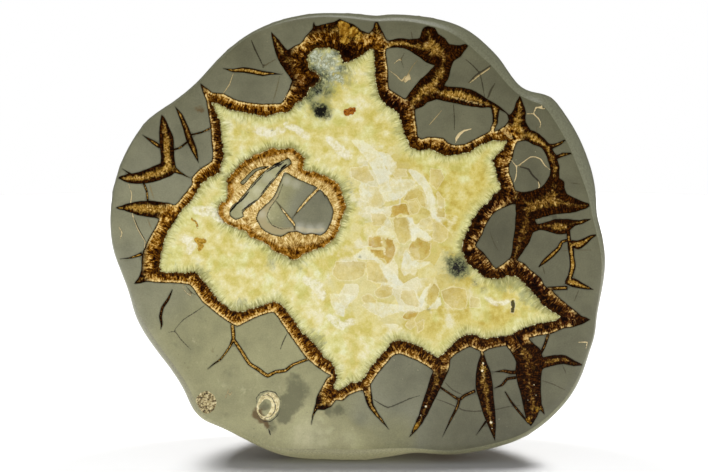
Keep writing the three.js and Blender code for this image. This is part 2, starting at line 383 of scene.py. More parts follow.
# hairline cracks: tone (0 black to 1 cream), width in steps, points
hairlines = [
    (0.9, 1.0, [(129, 184), (132, 194), (131, 203), (133, 216), (137, 227), (143, 238), (145, 241),
                (144, 250)]),
    (0.1, 1.4, [(134, 218), (138, 228), (143, 237), (146, 242)]),
    (0.55, 0.8, [(150, 185), (152, 192), (154, 198)]),
    (0.5, 0.8, [(148, 219), (150, 225), (152, 229)]),
    (0.9, 1.3, [(119, 227), (122, 233), (120, 239)]),
    (0.75, 1.1, [(234, 74), (230, 85), (223, 95)]),
    (0.4, 0.8, [(280, 77), (277, 90), (273, 103)]),
    (0.12, 1.4, [(252, 41), (256, 51), (261, 61), (264, 68)]),
    (0.35, 0.9, [(263, 68), (269, 64), (276, 60)]),
    (0.12, 1.1, [(465, 60), (472, 66), (479, 74), (482, 86), (484, 98)]),
    (0.14, 1.7, [(493, 64), (483, 71), (474, 77), (468, 83)]),
    (0.85, 0.9, [(489, 69), (480, 75), (470, 83)]),
    (0.2, 2.0, [(494, 84), (490, 91), (487, 99)]),
    (0.75, 1.0, [(389, 71), (396, 76), (401, 81), (405, 77), (409, 76), (411, 82)]),
    (0.85, 1.2, [(402, 81), (406, 78), (409, 79), (405, 83)]),
    (0.6, 0.8, [(417, 61), (412, 67), (408, 74), (402, 82)]),
    (0.8, 1.0, [(394, 64), (399, 60), (401, 61)]),
    (0.3, 0.8, [(404, 54), (401, 60), (403, 68)]),
    (0.7, 0.9, [(441, 111), (436, 117), (429, 125)]),
    (0.15, 0.9, [(453, 104), (454, 118), (454, 130)]),
    (0.95, 1.6, [(471, 129), (464, 131), (458, 137), (455, 143)]),
    (0.85, 0.9, [(464, 130), (458, 134), (455, 138)]),
    (0.85, 1.1, [(517, 166), (523, 162), (530, 157), (535, 157), (540, 159), (544, 165), (550, 170)]),
    (0.08, 1.8, [(520, 167), (528, 169), (532, 175), (538, 181), (540, 184)]),
    (0.95, 1.1, [(538, 182), (539, 186), (538, 190)]),
    (0.9, 1.1, [(511, 160), (516, 167), (516, 175), (514, 182)]),
    (0.8, 1.0, [(526, 114), (532, 114)]),
    (0.9, 1.1, [(545, 103), (540, 107), (535, 108), (533, 114), (538, 119), (540, 124), (539, 128)]),
    (0.85, 0.9, [(536, 108), (543, 109), (550, 105), (545, 98), (543, 104)]),
    (0.35, 0.8, [(536, 127), (536, 133)]),
    (0.3, 0.8, [(571, 183), (579, 184)]),
    (0.95, 1.0, [(579, 343), (588, 343), (587, 349)]),
    (0.25, 0.9, [(563, 365), (567, 374)]),
    (0.3, 0.9, [(541, 381), (553, 385), (566, 391)]),
    (0.24, 1.3, [(521, 407), (510, 408), (497, 411), (476, 413), (465, 412), (456, 408), (447, 404),
                 (436, 400)]),
    (0.24, 1.2, [(446, 384), (453, 391), (463, 396)]),
    (0.22, 1.3, [(420, 397), (410, 400), (399, 405), (388, 409), (380, 405), (374, 401)]),
    (0.2, 0.6, [(184, 284), (188, 289), (193, 294), (199, 296)]),
    (0.9, 0.6, [(182, 286), (185, 292), (190, 296)]),
    (0.0, 1.5, [(286, 165.5), (281, 170), (276, 175.5)]),
    (0.0, 1.2, [(274, 178.5), (270, 182.5), (264, 190.5), (261, 194)]),
    (0.0, 1.3, [(256.5, 199.5), (248.5, 205.5), (242, 210.5)]),
    (0.0, 1.5, [(283.5, 162.5), (277.5, 165.5), (272.5, 168.3), (267, 172)]),
    (0.0, 1.1, [(263, 175.5), (260.5, 178), (255, 183.8), (251.5, 188)]),
    (0.0, 1.7, [(249, 191.8), (242, 199.8), (237, 204.5)]),
    (0.25, 0.9, [(204, 306), (194, 313), (183, 320), (175, 329)]),
    (0.3, 0.9, [(168, 333), (174, 332), (181, 341), (190, 350)]),
    (0.2, 1.1, [(287, 334), (285, 338), (283, 342), (280, 350)]),
    (0.35, 0.7, [(561, 251), (576, 250), (591, 250)]),
    (0.3, 0.7, [(543, 267), (545, 274)]),
    (0.3, 0.8, [(579, 291), (577, 296), (575, 301)]),
    (0.3, 0.7, [(490, 232), (494, 243), (498, 250)]),
    (0.3, 0.7, [(411, 33), (412, 40)]),
    (0.7, 0.9, [(228, 391), (224.5, 399)]),
    (1.0, 3.2, [(297, 80), (291, 90), (284, 101)]),
    (0.75, 0.7, [(231.5, 393), (229, 397)]),
    (0.1, 1.6, [(268, 431), (270, 437)]),
    (0.3, 0.8, [(283, 184), (278, 197), (270, 208), (267, 216), (272, 225), (282, 229), (290, 228)]),
    (0.25, 0.8, [(262, 397), (267, 396), (272, 400), (275, 407), (274, 413), (270, 418), (264, 420)]),
    (0.15, 0.8, [(256, 405), (256, 399), (260, 394), (267, 392), (275, 394), (280, 401)]),
    (0.15, 0.8, [(280, 410), (277, 417), (270, 423), (263, 423), (257, 418)]),
]

# the two fossil shells in the limestone
fossils = {
    "edgeWander": 0.3,
    "edgeWanderSize": 1.5,
    "shellRing": {"middle": (267.5, 407.5), "radii": (11, 14.5), "turn": 20},
    "shellHole": {"middle": (264.5, 409), "radii": (6, 9), "turn": 20},
    "shellPatch": {"middle": (205, 404), "radii": (10.5, 11.5), "turn": 0},
    "cream": [(268, 408, 14, 1)],
}

crystalEdge = (-0.3, 0.42)  # mm outside and inside its outline between which a crystal fades in

# blocky crystals in the middle of the calcite: how honey-brown, the way the light falls off in it, outline
crystals = [
    (0.0, 90, [(351, 140), (363, 141), (377, 151), (385, 165), (389, 176), (385, 186), (379, 184),
               (374, 172), (368, 160), (359, 150)]),
    (0.06, 20, [(377, 151), (388, 154), (396, 163), (396, 171), (389.5, 176), (385.5, 165)]),
    (0.0, 200, [(379, 184.5), (389, 177), (391, 189), (399, 196), (391, 201), (385, 201), (380, 193)]),
    (0.17, 120, [(391, 178), (406, 179), (416, 181.5), (414, 185), (401, 191), (393, 193), (390, 186)]),
    (0.0, 60, [(393, 193.5), (404, 190.5), (414, 185.5), (420, 184), (411, 190), (403, 197), (394, 201),
               (390, 199)]),
    (0.03, 0, [(407, 170), (414, 170), (423, 176), (430, 186), (434, 196), (435, 206), (432, 213),
               (427, 208), (426, 198), (422, 187), (415, 180)]),
    (0.0, 90, [(431, 206), (435, 207), (437, 217), (444, 221), (438, 222), (431, 216)]),
    (0.03, 250, [(407, 216), (412, 218), (415, 226), (424, 231), (432, 238), (430, 241), (418, 237),
                 (414, 244), (410, 238), (408, 226)]),
    (0.05, 300, [(405, 249), (409, 252), (411, 259), (421, 262), (431, 262), (424, 267), (417, 269),
                 (415, 276), (410, 273), (404, 276), (401, 268), (403, 258)]),
    (0.0, 140, [(369, 251), (379, 259), (387, 266), (394, 272), (399, 279), (404, 286), (397, 286),
                (388, 281), (382, 272), (378, 264)]),
    (0.0, 100, [(366, 246), (369, 251), (374, 256), (378, 261), (366, 260), (358, 259), (353, 256),
                (360, 252)]),
    (0.12, 80, [(376, 283), (384, 281), (394, 285), (402, 287), (413, 289), (402, 290), (393, 288),
                (384, 284)]),
    (0.0, 70, [(424, 290), (431, 283), (427, 292), (424, 304), (421, 309), (419, 300)]),
    (0.02, 90, [(436, 299), (441, 298), (441, 305), (436, 309), (428, 309), (433, 303)]),
    (0.1, 60, [(362, 305), (370, 301), (380, 303), (392, 305), (404, 306), (419, 310), (408, 310),
               (396, 313), (382, 318), (372, 313), (366, 309)]),
    (0.12, 120, [(331, 294), (343, 294), (358, 297), (352, 302), (345, 306), (344, 318), (336, 314),
                 (331, 304)]),
    (0.14, 200, [(361, 182), (368, 184), (372, 196), (368, 203), (361, 200), (359, 190)]),
    (0.12, 90, [(366, 206), (380, 208), (389, 206), (386, 212), (377, 213), (366, 213)]),
    (0.12, 270, [(384, 217), (389, 217), (392, 226), (395, 238), (388, 238), (381, 236), (374, 235),
                 (378, 229), (385, 225)]),
    (0.32, 160, [(369, 186), (378, 186), (381, 196), (385, 203), (379, 208), (369, 206), (368, 196)]),
    (0.34, 90, [(394, 169), (406, 169), (407, 177), (393, 177)]),
    (0.34, 300, [(421, 220), (431, 217), (433, 230), (424, 230), (418, 225)]),
    (0.46, 0, [(433, 222), (440, 222), (448, 230), (448, 238), (441, 243), (433, 240)]),
    (0.46, 60, [(402, 290), (414, 290), (419, 302), (419, 308), (406, 305), (400, 298)]),
    (0.5, 250, [(336, 262), (354, 261), (366, 262), (364, 276), (352, 281), (338, 280), (332, 274)]),
    (0.52, 120, [(366, 261), (378, 263), (383, 274), (388, 282), (376, 283), (368, 280)]),
    (0.56, 100, [(375, 291), (383, 285), (393, 288), (392, 296), (382, 299), (375, 296)]),
    (0.88, 240, [(390, 218), (391.5, 206), (406, 203), (409, 212), (410, 215.5), (400, 214), (393, 218)]),
    (0.74, 60, [(403, 200), (409, 190), (419, 187.5), (420.5, 193), (417, 198), (407, 201)]),
    (0.62, 160, [(420.5, 188.5), (425, 198), (426, 208), (421, 206), (417, 199)]),
    (0.5, 30, [(408, 202), (416, 200.5), (420, 207), (418, 213), (412, 215), (409, 208)]),
    (0.62, 250, [(393, 218), (406, 216.5), (410, 228), (411, 238), (405, 244), (399, 243), (394, 231)]),
    (0.95, 100, [(368.5, 237), (381, 236), (382, 247), (374, 248), (368, 246)]),
    (1.0, 90, [(511, 299), (515.4, 299.6), (515.8, 306), (514.6, 313.6), (510.8, 313.6)]),
    (0.96, 300, [(369, 249), (383, 249.5), (386, 260), (377, 257), (371, 252.5)]),
    (0.6, 200, [(381.5, 236.5), (385.5, 237.5), (385.5, 249), (382.5, 247.5)]),
    (0.95, 250, [(386, 237.5), (393, 240), (396, 250), (392, 261), (387, 265.5), (384.5, 259),
                 (385.5, 248)]),
    (0.82, 250, [(416, 237), (431, 243.5), (430, 255), (422, 261), (413, 259), (408, 250), (410, 244)]),
    (0.72, 80, [(437, 207), (445, 208), (445, 218), (437, 217)]),
    (0.42, 90, [(437, 191), (444, 199), (445, 207), (437, 206)]),
    (0.52, 60, [(350, 168), (368, 166), (375, 181), (365, 183), (352, 178)]),
    (0.74, 250, [(426, 304), (428, 292), (434, 282), (440, 290), (437, 303), (431, 306)]),
    (0.66, 330, [(441, 291), (453, 287), (466, 289), (468, 300), (466, 309), (452, 309), (444, 302)]),
    (0.88, 90, [(402, 318), (407, 311), (420, 312), (416, 318), (407, 321)]),
    (0.5, 200, [(430, 168), (441, 170), (444, 178), (437, 190), (430, 184)]),
    (0.52, 130, [(371, 213), (385, 214), (388, 220), (381, 226), (372, 226)]),
    (0.52, 40, [(362, 296), (370, 294), (378, 302), (371, 304), (362, 302)]),
    (0.7, 90, [(417, 324), (424, 320), (424, 330), (418, 333)]),
    (0.45, 90, [(405, 325), (414, 317), (416, 326), (410, 331)]),
    (0.5, 10, [(470, 296), (480, 299), (481, 308), (470, 308)]),
]

# white veils between the crystals, [x, y, width]
veils = [
    [(286, 125, 3), (296, 129, 5), (306, 136, 5)],
    [(306, 280, 6), (318, 287, 9), (322, 296, 7)],
    [(183, 238, 6), (192, 243, 8), (189, 251, 5)],
    [(486, 298, 2), (498, 304, 3), (508, 302, 2)],
    [(256, 130, 5), (268, 133, 6), (282, 130, 5)],
    [(330, 318, 6), (342, 326, 7), (352, 322, 5)],
    [(330, 140, 5), (338, 148, 8), (348, 156, 6)],
    [(196, 210, 6), (212, 212, 8), (222, 220, 5)],
]

# mm over which the edges of these strokes fade
strokeFade = {"beige": 0.7, "veil": 0.8, "seam": 0.5}

# soft spots, [x, y, radius, amount]
calciteSpots = {
    "ink": [(321, 111, 6, 2.2), (317, 107, 6, 0.8), (326, 114, 6, 0.8), (458, 267, 9, 1.2),
            (454, 264, 8, 0.8), (463, 272, 6, 0.7), (452, 258, 6, 0.5), (476, 282, 5, 0.4),
            (484, 290, 4, 0.4), (326, 92, 6, 0.6), (343, 70, 6, 0.5), (322, 78, 8, 0.8), (309, 96, 7, 0.7),
            (300, 104, 5, 0.5), (316, 88, 8, 0.9), (308, 62, 4, 0.8), (312, 72, 6, 1.0), (322, 49, 3, 0.7),
            (337, 53, 4, 0.6), (273, 130, 1.3, 0.9), (199, 271, 4, 0.3), (383, 206.5, 1.8, 0.4),
            (429, 310, 2, 0.5), (360, 257, 1.5, 0.5), (534, 294, 4, 0.4), (520, 284, 3, 0.3),
            (464, 256, 3, 0.5), (321, 112, 11, 0.3), (457, 266, 15, 0.3)],
    "green": [(318, 100, 16, 1), (330, 88, 12, 0.9), (457, 266, 16, 1), (345, 78, 12, 0.8),
              (502, 283, 10, 1.0), (527, 296, 9, 1.0), (515, 284, 9, 1.0), (537, 306, 7, 0.9),
              (347, 188, 10, 0.7), (348, 205, 9, 0.6), (203, 275, 9, 0.7), (240, 307, 10, 0.9),
              (317, 343, 10, 0.9), (243, 125, 12, 0.4), (272, 258, 12, 0.6), (400, 130, 10, 0.6),
              (377, 95, 7, 0.6), (300, 262, 12, 0.5), (412, 150, 8, 0.5), (465, 248, 8, 0.8),
              (310, 330, 8, 0.4), (170, 262, 10, 0.4), (222, 150, 6, 0.3), (340, 385, 8, 0.3)],
    "hairy": [(232, 168, 20, 0.9), (262, 148, 24, 0.9), (296, 146, 20, 0.8), (330, 172, 24, 0.8),
              (350, 205, 22, 0.8), (345, 235, 20, 0.6), (320, 258, 20, 0.6), (285, 262, 20, 0.8),
              (245, 243, 22, 0.6), (214, 215, 18, 0.6), (200, 275, 20, 0.7), (245, 310, 20, 0.6),
              (530, 292, 18, 1), (512, 280, 16, 1), (545, 308, 8, 0.8), (318, 346, 16, 0.9),
              (378, 85, 12, 0.5), (465, 245, 14, 0.6)],
    "grey": [(333, 76, 7, 0.9), (340, 80, 6, 0.6), (316, 58, 8, 1), (328, 62, 10, 1), (320, 70, 8, 1),
             (334, 56, 6, 0.9), (338, 70, 6, 0.7), (330, 82, 8, 0.6), (318, 92, 8, 0.45)],
    "rust": [(347, 112.5, 3.2, 1.2), (351, 111.5, 3.4, 1.2), (354, 110, 2.4, 1), (196.5, 240, 2.4, 1.2),
             (200, 242, 3, 1.3), (204, 241, 2.4, 1.1), (201, 246, 2.6, 1.2), (199.5, 249.5, 2, 1),
             (192, 219, 1.5, 1), (195, 221, 1.5, 1), (197, 224, 1.4, 1), (197.5, 227, 1.3, 0.9)],
    "heart": [(400, 225, 44, 1), (385, 185, 34, 1), (370, 272, 40, 1), (430, 270, 28, 0.9),
              (400, 300, 32, 1), (350, 300, 24, 0.7), (455, 298, 24, 0.7), (440, 230, 20, 0.7)],
}

aragoniteSpots = {
    "amber": [(344, 26, 5, 1.2), (345, 33, 5, 1.1), (345, 41, 4, 0.9), (353, 33, 6, 0.8), (359, 38, 5, 0.6),
              (484, 371, 4, 0.5), (416, 428, 5, 0.7), (540, 412, 4, 0.6), (529, 422, 4, 0.6),
              (329, 30, 5, 0.3), (284, 256, 8, 0.35), (178, 168, 5, 0.35)],
    "cream": [(492, 424, 1.4, 1), (426, 408, 1.3, 1), (493, 430, 0.9, 0.8), (421, 417, 1.0, 0.8),
              (483, 372, 1.4, 0.9), (484, 364, 1.2, 0.8), (430, 372, 0.8, 0.8), (537, 396, 0.9, 0.8),
              (535, 386, 0.8, 0.8), (529, 402, 0.8, 0.8), (411, 436, 1.0, 0.8)],
}

# pale seams in the aragonite, [x, y, width]
aragoniteSeams = [
    [(454, 98, 1), (466, 101, 1.8), (481, 105, 1)],
    [(498, 126, 2), (504, 131, 5), (511, 138, 3)],
    [(483, 364, 1), (483.5, 371, 2), (485, 379, 1)],
]

limestone = {
    # [x, y, how pale]: partly the stone's own tone, partly painted light that makes the lower left and the
    # bottom paler
    "pale": [
        (240, 55, 0.24), (300, 25, 0.3), (240, 90, 0.32), (400, 28, 0.26), (475, 55, 0.2), (500, 85, 0.18),
        (545, 115, 0.2), (575, 165, 0.22), (590, 215, 0.26), (595, 260, 0.26), (590, 310, 0.24),
        (575, 350, 0.2), (560, 395, 0.14), (515, 430, 0.08), (470, 435, 0.16), (440, 440, 0.3),
        (400, 438, 0.75), (350, 438, 1.15), (310, 440, 1.3), (270, 425, 0.95), (290, 360, 0.82),
        (265, 345, 0.8), (215, 340, 0.78), (180, 345, 0.72), (220, 385, 0.84), (150, 300, 0.56),
        (128, 260, 0.5), (138, 193, 0.56), (125, 225, 0.56), (125, 150, 0.42), (150, 125, 0.36),
        (185, 105, 0.3), (200, 145, 0.34), (175, 190, 0.52), (430, 115, 0.28), (465, 125, 0.24),
        (405, 65, 0.32), (528, 165, 0.12), (500, 235, 0.0), (503, 120, 0.16), (310, 210, 0.34),
        (265, 180, 1.05), (250, 200, 1.1), (550, 245, 0.14), (530, 270, 0.1), (465, 375, 0.12),
        (505, 370, 0.1), (400, 385, 0.36), (360, 420, 0.5), (395, 375, 0.36),
    ],
    "smudges": [(294, 384, 10, 0.8), (300, 393, 10, 0.9), (291, 403, 12, 1.1), (284, 416, 10, 1.0),
                (272, 427, 9, 0.7), (338, 412, 6, 1.0), (328, 410, 5, 0.8), (364, 420, 5, 0.4),
                (330, 416, 5, 0.7), (264, 408, 5, 0.9), (176, 345, 5, 0.35), (228, 378, 7, 0.4),
                (222, 360, 5, 0.3), (160, 315, 10, 0.3), (132, 262, 10, 0.25)],
    "stains": [(257, 416, 5, 1.4), (262, 421, 4, 1.3), (266, 428, 2.5, 1.2), (255, 411, 3, 0.9),
               (264, 409, 5, 0.2), (202, 110, 4, 0.7), (196, 109, 3, 0.6), (259, 420, 4, 0.9),
               (264, 424, 3, 0.8), (213, 350, 4, 0.35)],
    "flecks": [(457, 442, 1, 0.8), (443, 448, 1, 0.8), (226, 416, 1, 0.7)],
    # a beige margin inside the island's big piece, [x, y, width], and soft pale haze
    "beige": [
        [(279, 182, 2), (274, 197, 4), (266, 206, 7), (262, 213, 9), (261, 220, 8), (267, 227, 7),
         (276, 231, 6), (285, 231, 4), (296, 229, 3), (310, 231, 3), (322, 230, 2)],
    ],
    "haze": [(300, 228, 5, 0.8), (310, 230, 5, 0.9), (320, 229, 5, 0.7), (287, 181, 4, 0.7),
             (296, 184, 4, 0.6), (262, 214, 4, 0.6), (248, 204, 5, 0.5), (268, 178, 5, 0.5),
             (258, 190, 5, 0.4)],
}


# The stone's own body, from the frame.

# lengths in mm
rind = {
    "levels": 2,  # rounds of smoothing
    "relief": 1.3,  # height of the weathered lumps
    "lumpSize": 9.0,  # how far apart they are
    "fineRelief": 0.4,  # the same for the fine grains on them
    "fineSize": 2.2,
    "edgeWear": 0.3,  # how much the polish has rounded off the edge of the flat face
    "edgeWearWidth": 2.4,  # and how far in from the edge
    "polishFacing": (-0.08, 0.1),  # share of facing front at which the polish starts and is whole
    "polishDepth": (16, 11),  # how far behind the face that polish has ended, and is still whole
    "rimPolish": (2.2, 1.2),  # the same for the rim, whichever way it faces
    "groundPolish": (1.6, 0.5),  # the same for the ground underneath, above the floor
    "seed": 3,
}

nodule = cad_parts["nodule"]


def bareBody():
    # a merged copy of the stone with the flat of its polished face taken out, and the face's plane
    body = bmesh.new()
    body.from_mesh(nodule.data)
    bmesh.ops.remove_doubles(body, verts=body.verts, dist=1e-5)
    bmesh.ops.recalc_face_normals(body, faces=body.faces)
    widest = max((f for f in body.faces if f.normal.y < -0.9), key=lambda f: f.calc_area())
    normal = widest.normal.copy()
    level = widest.calc_center_median().dot(normal)
    flat = [f for f in body.faces if f.normal.dot(normal) > 0.99999
            and abs(f.calc_center_median().dot(normal) - level) < 2e-5]
    bmesh.ops.delete(body, geom=flat, context="FACES")
    bmesh.ops.join_triangles(body, faces=body.faces, angle_face_threshold=math.radians(30),
                             angle_shape_threshold=math.radians(60))
    mesh = bpy.data.meshes.new("bareBody")
    body.to_mesh(mesh)
    body.free()
    return mesh, normal, level


def rindTree():
    # Geometry Nodes: lifts the weathered surface into lumps and grains, none on the polished shoulder
    tree = bpy.data.node_groups.new("weatherRind", "GeometryNodeTree")
    inputs = {}
    tree.interface.new_socket("Geometry", in_out="INPUT", socket_type="NodeSocketGeometry")
    for name, kind in (("Relief", "NodeSocketFloat"), ("Lump Size", "NodeSocketFloat"),
                       ("Fine Relief", "NodeSocketFloat"), ("Fine Size", "NodeSocketFloat"),
                       ("Seed", "NodeSocketFloat"), ("Material", "NodeSocketMaterial")):
        inputs[name] = tree.interface.new_socket(name, in_out="INPUT", socket_type=kind).identifier
    tree.interface.new_socket("Geometry", in_out="OUTPUT", socket_type="NodeSocketGeometry")
    given = addNode(tree, "NodeGroupInput", {}).outputs
    polish = addNode(tree, "GeometryNodeInputNamedAttribute", {"data_type": "FLOAT", "Name": "polish"})
    position = addNode(tree, "GeometryNodeInputPosition", {})
    shifted = addNode(tree, "ShaderNodeVectorMath", {"operation": "ADD", 0: position, 1: given["Seed"]})
    lift = None
    for height, size, detail in (("Relief", "Lump Size", 3.0), ("Fine Relief", "Fine Size", 2.0)):
        perMetre = calc(tree, "DIVIDE", 1.0, given[size])
        lumps = addNode(tree, "ShaderNodeTexNoise", {"Vector": shifted, "Scale": perMetre, "Detail": detail})
        raised = times(tree, calc(tree, "SUBTRACT", lumps, 0.5), given[height])
        lift = raised if lift is None else calc(tree, "ADD", lift, raised)
    masked = times(tree, lift, calc(tree, "SUBTRACT", 1.0, polish))
    normal = addNode(tree, "GeometryNodeInputNormal", {})
    offset = addNode(tree, "ShaderNodeVectorMath", {"operation": "SCALE", 0: normal, "Scale": masked})
    moved = addNode(tree, "GeometryNodeSetPosition", {"Geometry": given["Geometry"], "Offset": offset})
    real = addNode(tree, "GeometryNodeRealizeInstances", {"Geometry": moved})
    painted = addNode(tree, "GeometryNodeSetMaterial", {"Geometry": real, "Material": given["Material"]})
    addNode(tree, "NodeGroupOutput", {"Geometry": painted})
    return tree, inputs


def evaluated(piece, name):
    # the piece's mesh with its modifiers applied, and the modifiers removed
    mesh = bpy.data.meshes.new_from_object(piece.evaluated_get(bpy.context.evaluated_depsgraph_get()))
    mesh.name = name
    piece.modifiers.clear()
    return mesh


def smoothStep(low, high, value):
    share = np.clip((value - low) / (high - low), 0, 1)
    return share * share * (3 - 2 * share)


def placesOf(mesh):
    # where the mesh's vertices are, one row each
    places = np.empty(len(mesh.vertices) * 3)
    mesh.vertices.foreach_get("co", places)
    return places.reshape(-1, 3)


def weatheredBody(material):
    # the shoulder, flank and back: smoothed, then weathered behind the polished shoulder
    mesh, normal, level = bareBody()
    body = bpy.data.objects.new("body", mesh)
    bpy.context.collection.objects.link(body)
    smoothing = body.modifiers.new("smooth", "SUBSURF")
    smoothing.levels = smoothing.render_levels = rind["levels"]
    smoothing.boundary_smooth = "ALL"
    body.data = evaluated(body, "smoothBody")
    places = placesOf(body.data)
    normals = np.empty(places.size)
    body.data.vertex_normals.foreach_get("vector", normals)
    facing = normals.reshape(-1, 3) @ np.array(normal)
    behind = (level - places @ np.array(normal)) * 1000
    shoulder = smoothStep(*rind["polishFacing"], facing) * smoothStep(*rind["polishDepth"], behind)
    polish = np.maximum(shoulder, smoothStep(*rind["rimPolish"], behind))
    grounded = smoothStep(*rind["groundPolish"], places[:, 2] * 1000)
    attribute = body.data.attributes.new("polish", "FLOAT", "POINT")
    attribute.data.foreach_set("value", np.maximum(polish, grounded))
    tree, inputs = rindTree()
    weather = body.modifiers.new("weather", "NODES")
    weather.node_group = tree
    for name, value in (("Relief", rind["relief"] / 1000), ("Lump Size", rind["lumpSize"] / 1000),
                        ("Fine Relief", rind["fineRelief"] / 1000), ("Fine Size", rind["fineSize"] / 1000),
                        ("Seed", float(rind["seed"])), ("Material", material)):
        weather[inputs[name]] = value
    body.data = evaluated(body, "weatheredBody")
    mesh = body.data
    bpy.data.objects.remove(body)
    return mesh, normal, level, polish


def openLoop(mesh):
    # the numbers of the vertices around the mesh's opening, in order
    uses = {}
    for polygon in mesh.polygons:
        for key in polygon.edge_keys:
            uses[key] = uses.get(key, 0) + 1
    onward = {}
    for a, b in (key for key, used in uses.items() if used == 1):
        onward.setdefault(a, []).append(b)
        onward.setdefault(b, []).append(a)
    first = min(onward)
    loop = [first, onward[first][0]]
    while True:
        a, b = onward[loop[-1]]
        following = a if b == loop[-2] else b
        if following == first:
            return loop
        loop.append(following)


# The face's mesh: zones, lines and filling points.

def drawnLines():
    # every drawn outline and line of the face in mm
    spacing = drawing["lineSpacing"]

    def closed(points, grown):
        line = curveThrough(toMm(points), True, spacing)
        return roughen(line, grown["edgeWander"], grown["edgeWanderSize"])

    def stroke(points):
        return ribbon(curveThrough(toMm(points), False, spacing))

    def oval(fossil):
        turn = math.radians(fossil["turn"])
        points = []
        corners = 20
        for k in range(corners):
            angle = 2 * math.pi * k / corners
            x = fossil["radii"][0] * math.cos(angle)
            y = fossil["radii"][1] * math.sin(angle)
            points.append((fossil["middle"][0] + x * math.cos(turn) - y * math.sin(turn),
                           fossil["middle"][1] + x * math.sin(turn) + y * math.cos(turn)))
        return closed(points, fossils)

    return {
        "calcite": [closed(calcite["outline"], calcite)],
        "lining": [closed(aragonite["outline"], aragonite)],
        "cells": [closed(cell, aragonite) for cell in aragonite["cells"]],
        "cracks": [closed(crack, aragonite) for crack in aragonite["sideCracks"]]
        + [stroke(line) for line in aragonite["sideLines"]],
        "ring": [closed(island["ring"], island)],
        "pieces": [closed(piece, aragonite) for piece in island["pieces"]],
        "pieceCracks": [stroke(crack) for crack in island["cracks"]],
        "gaps": [stroke(gap) for gap in island["gaps"]],
        "shell": [oval(fossils["shellRing"]), oval(fossils["shellPatch"])],
        "shellHole": [oval(fossils["shellHole"])],
        "hairs": [curveThrough(toMm(points), False, spacing) for tone, width, points in hairlines],
    }


def fillingPoints(loop, lines, samples):
    # jittered points between the drawn lines and clear of them, closer where the pattern is finer
    low, high = loop.min(axis=0), loop.max(axis=0)
    random = np.random.default_rng(drawing["seed"])
    filling = []
    for name, spacing in drawing["spacing"].items():
        row = spacing * math.sqrt(3) / 2
        points = []
        for j in range(int((high[1] - low[1]) / row) + 1):
            across = np.arange(low[0] + (j % 2) * spacing / 2, high[0], spacing)
            points.append(np.stack([across, np.full(len(across), low[1] + j * row)], axis=1))
        points = np.vstack(points)
        points += random.uniform(-drawing["jitter"], drawing["jitter"], points.shape) * spacing
        points = points[inside(points, loop)]
        points = points[zonesOf(points, lines) == zoneNames.index(name)]
        margin = drawing["lineMargin"] * min(spacing, drawing["widestMargin"])
        filling.append(points[nearest(points, samples)[1] > margin])
    return np.vstack(filling)


def triangulatedFace(loop, lines):
    # triangles of the whole face that keep every drawn line; the loop's points come first, in their order
    points = [loop]
    edges = [(i, (i + 1) % len(loop)) for i in range(len(loop))]
    start = len(loop)
    for name, group in lines.items():
        for line in group:
            count = len(line)
            points.append(line[:, :2])
            steps = range(count - 1 if name == "hairs" else count)
            edges += [(start + i, start + (i + 1) % count) for i in steps]
            start += count
    samples = np.vstack(points)
    points.append(fillingPoints(loop, lines, samples))
    everything = [Vector(point) for point in np.vstack(points)]
    result = geometry.delaunay_2d_cdt(everything, edges, [], 0, 1e-6, True)
    vertices = np.array([tuple(v) for v in result[0]])
    triangles = np.array([tuple(f) for f in result[2]])
    centres = vertices[triangles].mean(axis=1)
    return vertices, triangles[inside(centres, loop)], result[3]


zoneNames = ["rind", "limestone", "aragonite", "calcite", "shell", "gap"]


def zonesOf(centres, lines):
    # the zone's number at each point
    def within(name):
        hit = np.zeros(len(centres), dtype=bool)
        for outline in lines[name]:
            hit |= inside(centres, outline[:, :2])
        return hit

    zone = np.full(len(centres), zoneNames.index("limestone"))
    brown = (within("lining") & ~within("cells")) | within("cracks")
    zone[brown] = zoneNames.index("aragonite")
    zone[within("calcite")] = zoneNames.index("calcite")
    zone[within("ring")] = zoneNames.index("aragonite")
    zone[within("pieces")] = zoneNames.index("limestone")
    zone[within("pieceCracks")] = zoneNames.index("aragonite")
    zone[within("gaps")] = zoneNames.index("gap")
    zone[within("shell")] = zoneNames.index("shell")
    zone[within("shellHole")] = zoneNames.index("limestone")
    return zone


def edgeSamples(vertices, triangles, zone, first, second):
    # points close together along the edges where two zones meet
    pairs = {}
    for t, (a, b, c) in enumerate(triangles):
        for key in ((a, b), (b, c), (c, a)):
            pairs.setdefault((min(key), max(key)), []).append(t)
    wanted = {first, second}
    inner = {key: both for key, both in pairs.items() if len(both) == 2}
    meeting = [key for key, both in inner.items() if {zone[both[0]], zone[both[1]]} == wanted]
    starts = vertices[[key[0] for key in meeting]]
    ends = vertices[[key[1] for key in meeting]]
    shares = np.linspace(0, 1, drawing["zoneSamples"])[:, None, None]
    return (starts[None] * (1 - shares) + ends[None] * shares).reshape(-1, 2)


def strokeCover(points, strokes, fade):
    # how strongly strokes of [x, y, width] with fading edges cover each point
    samples = np.vstack([curveThrough(toMm(stroke), False, drawing["strokeSpacing"]) for stroke in strokes])
    number, apart = nearest(points, samples[:, :2])
    return np.clip(1 - (apart - samples[number, 2] / 2) / fade, 0, 1)


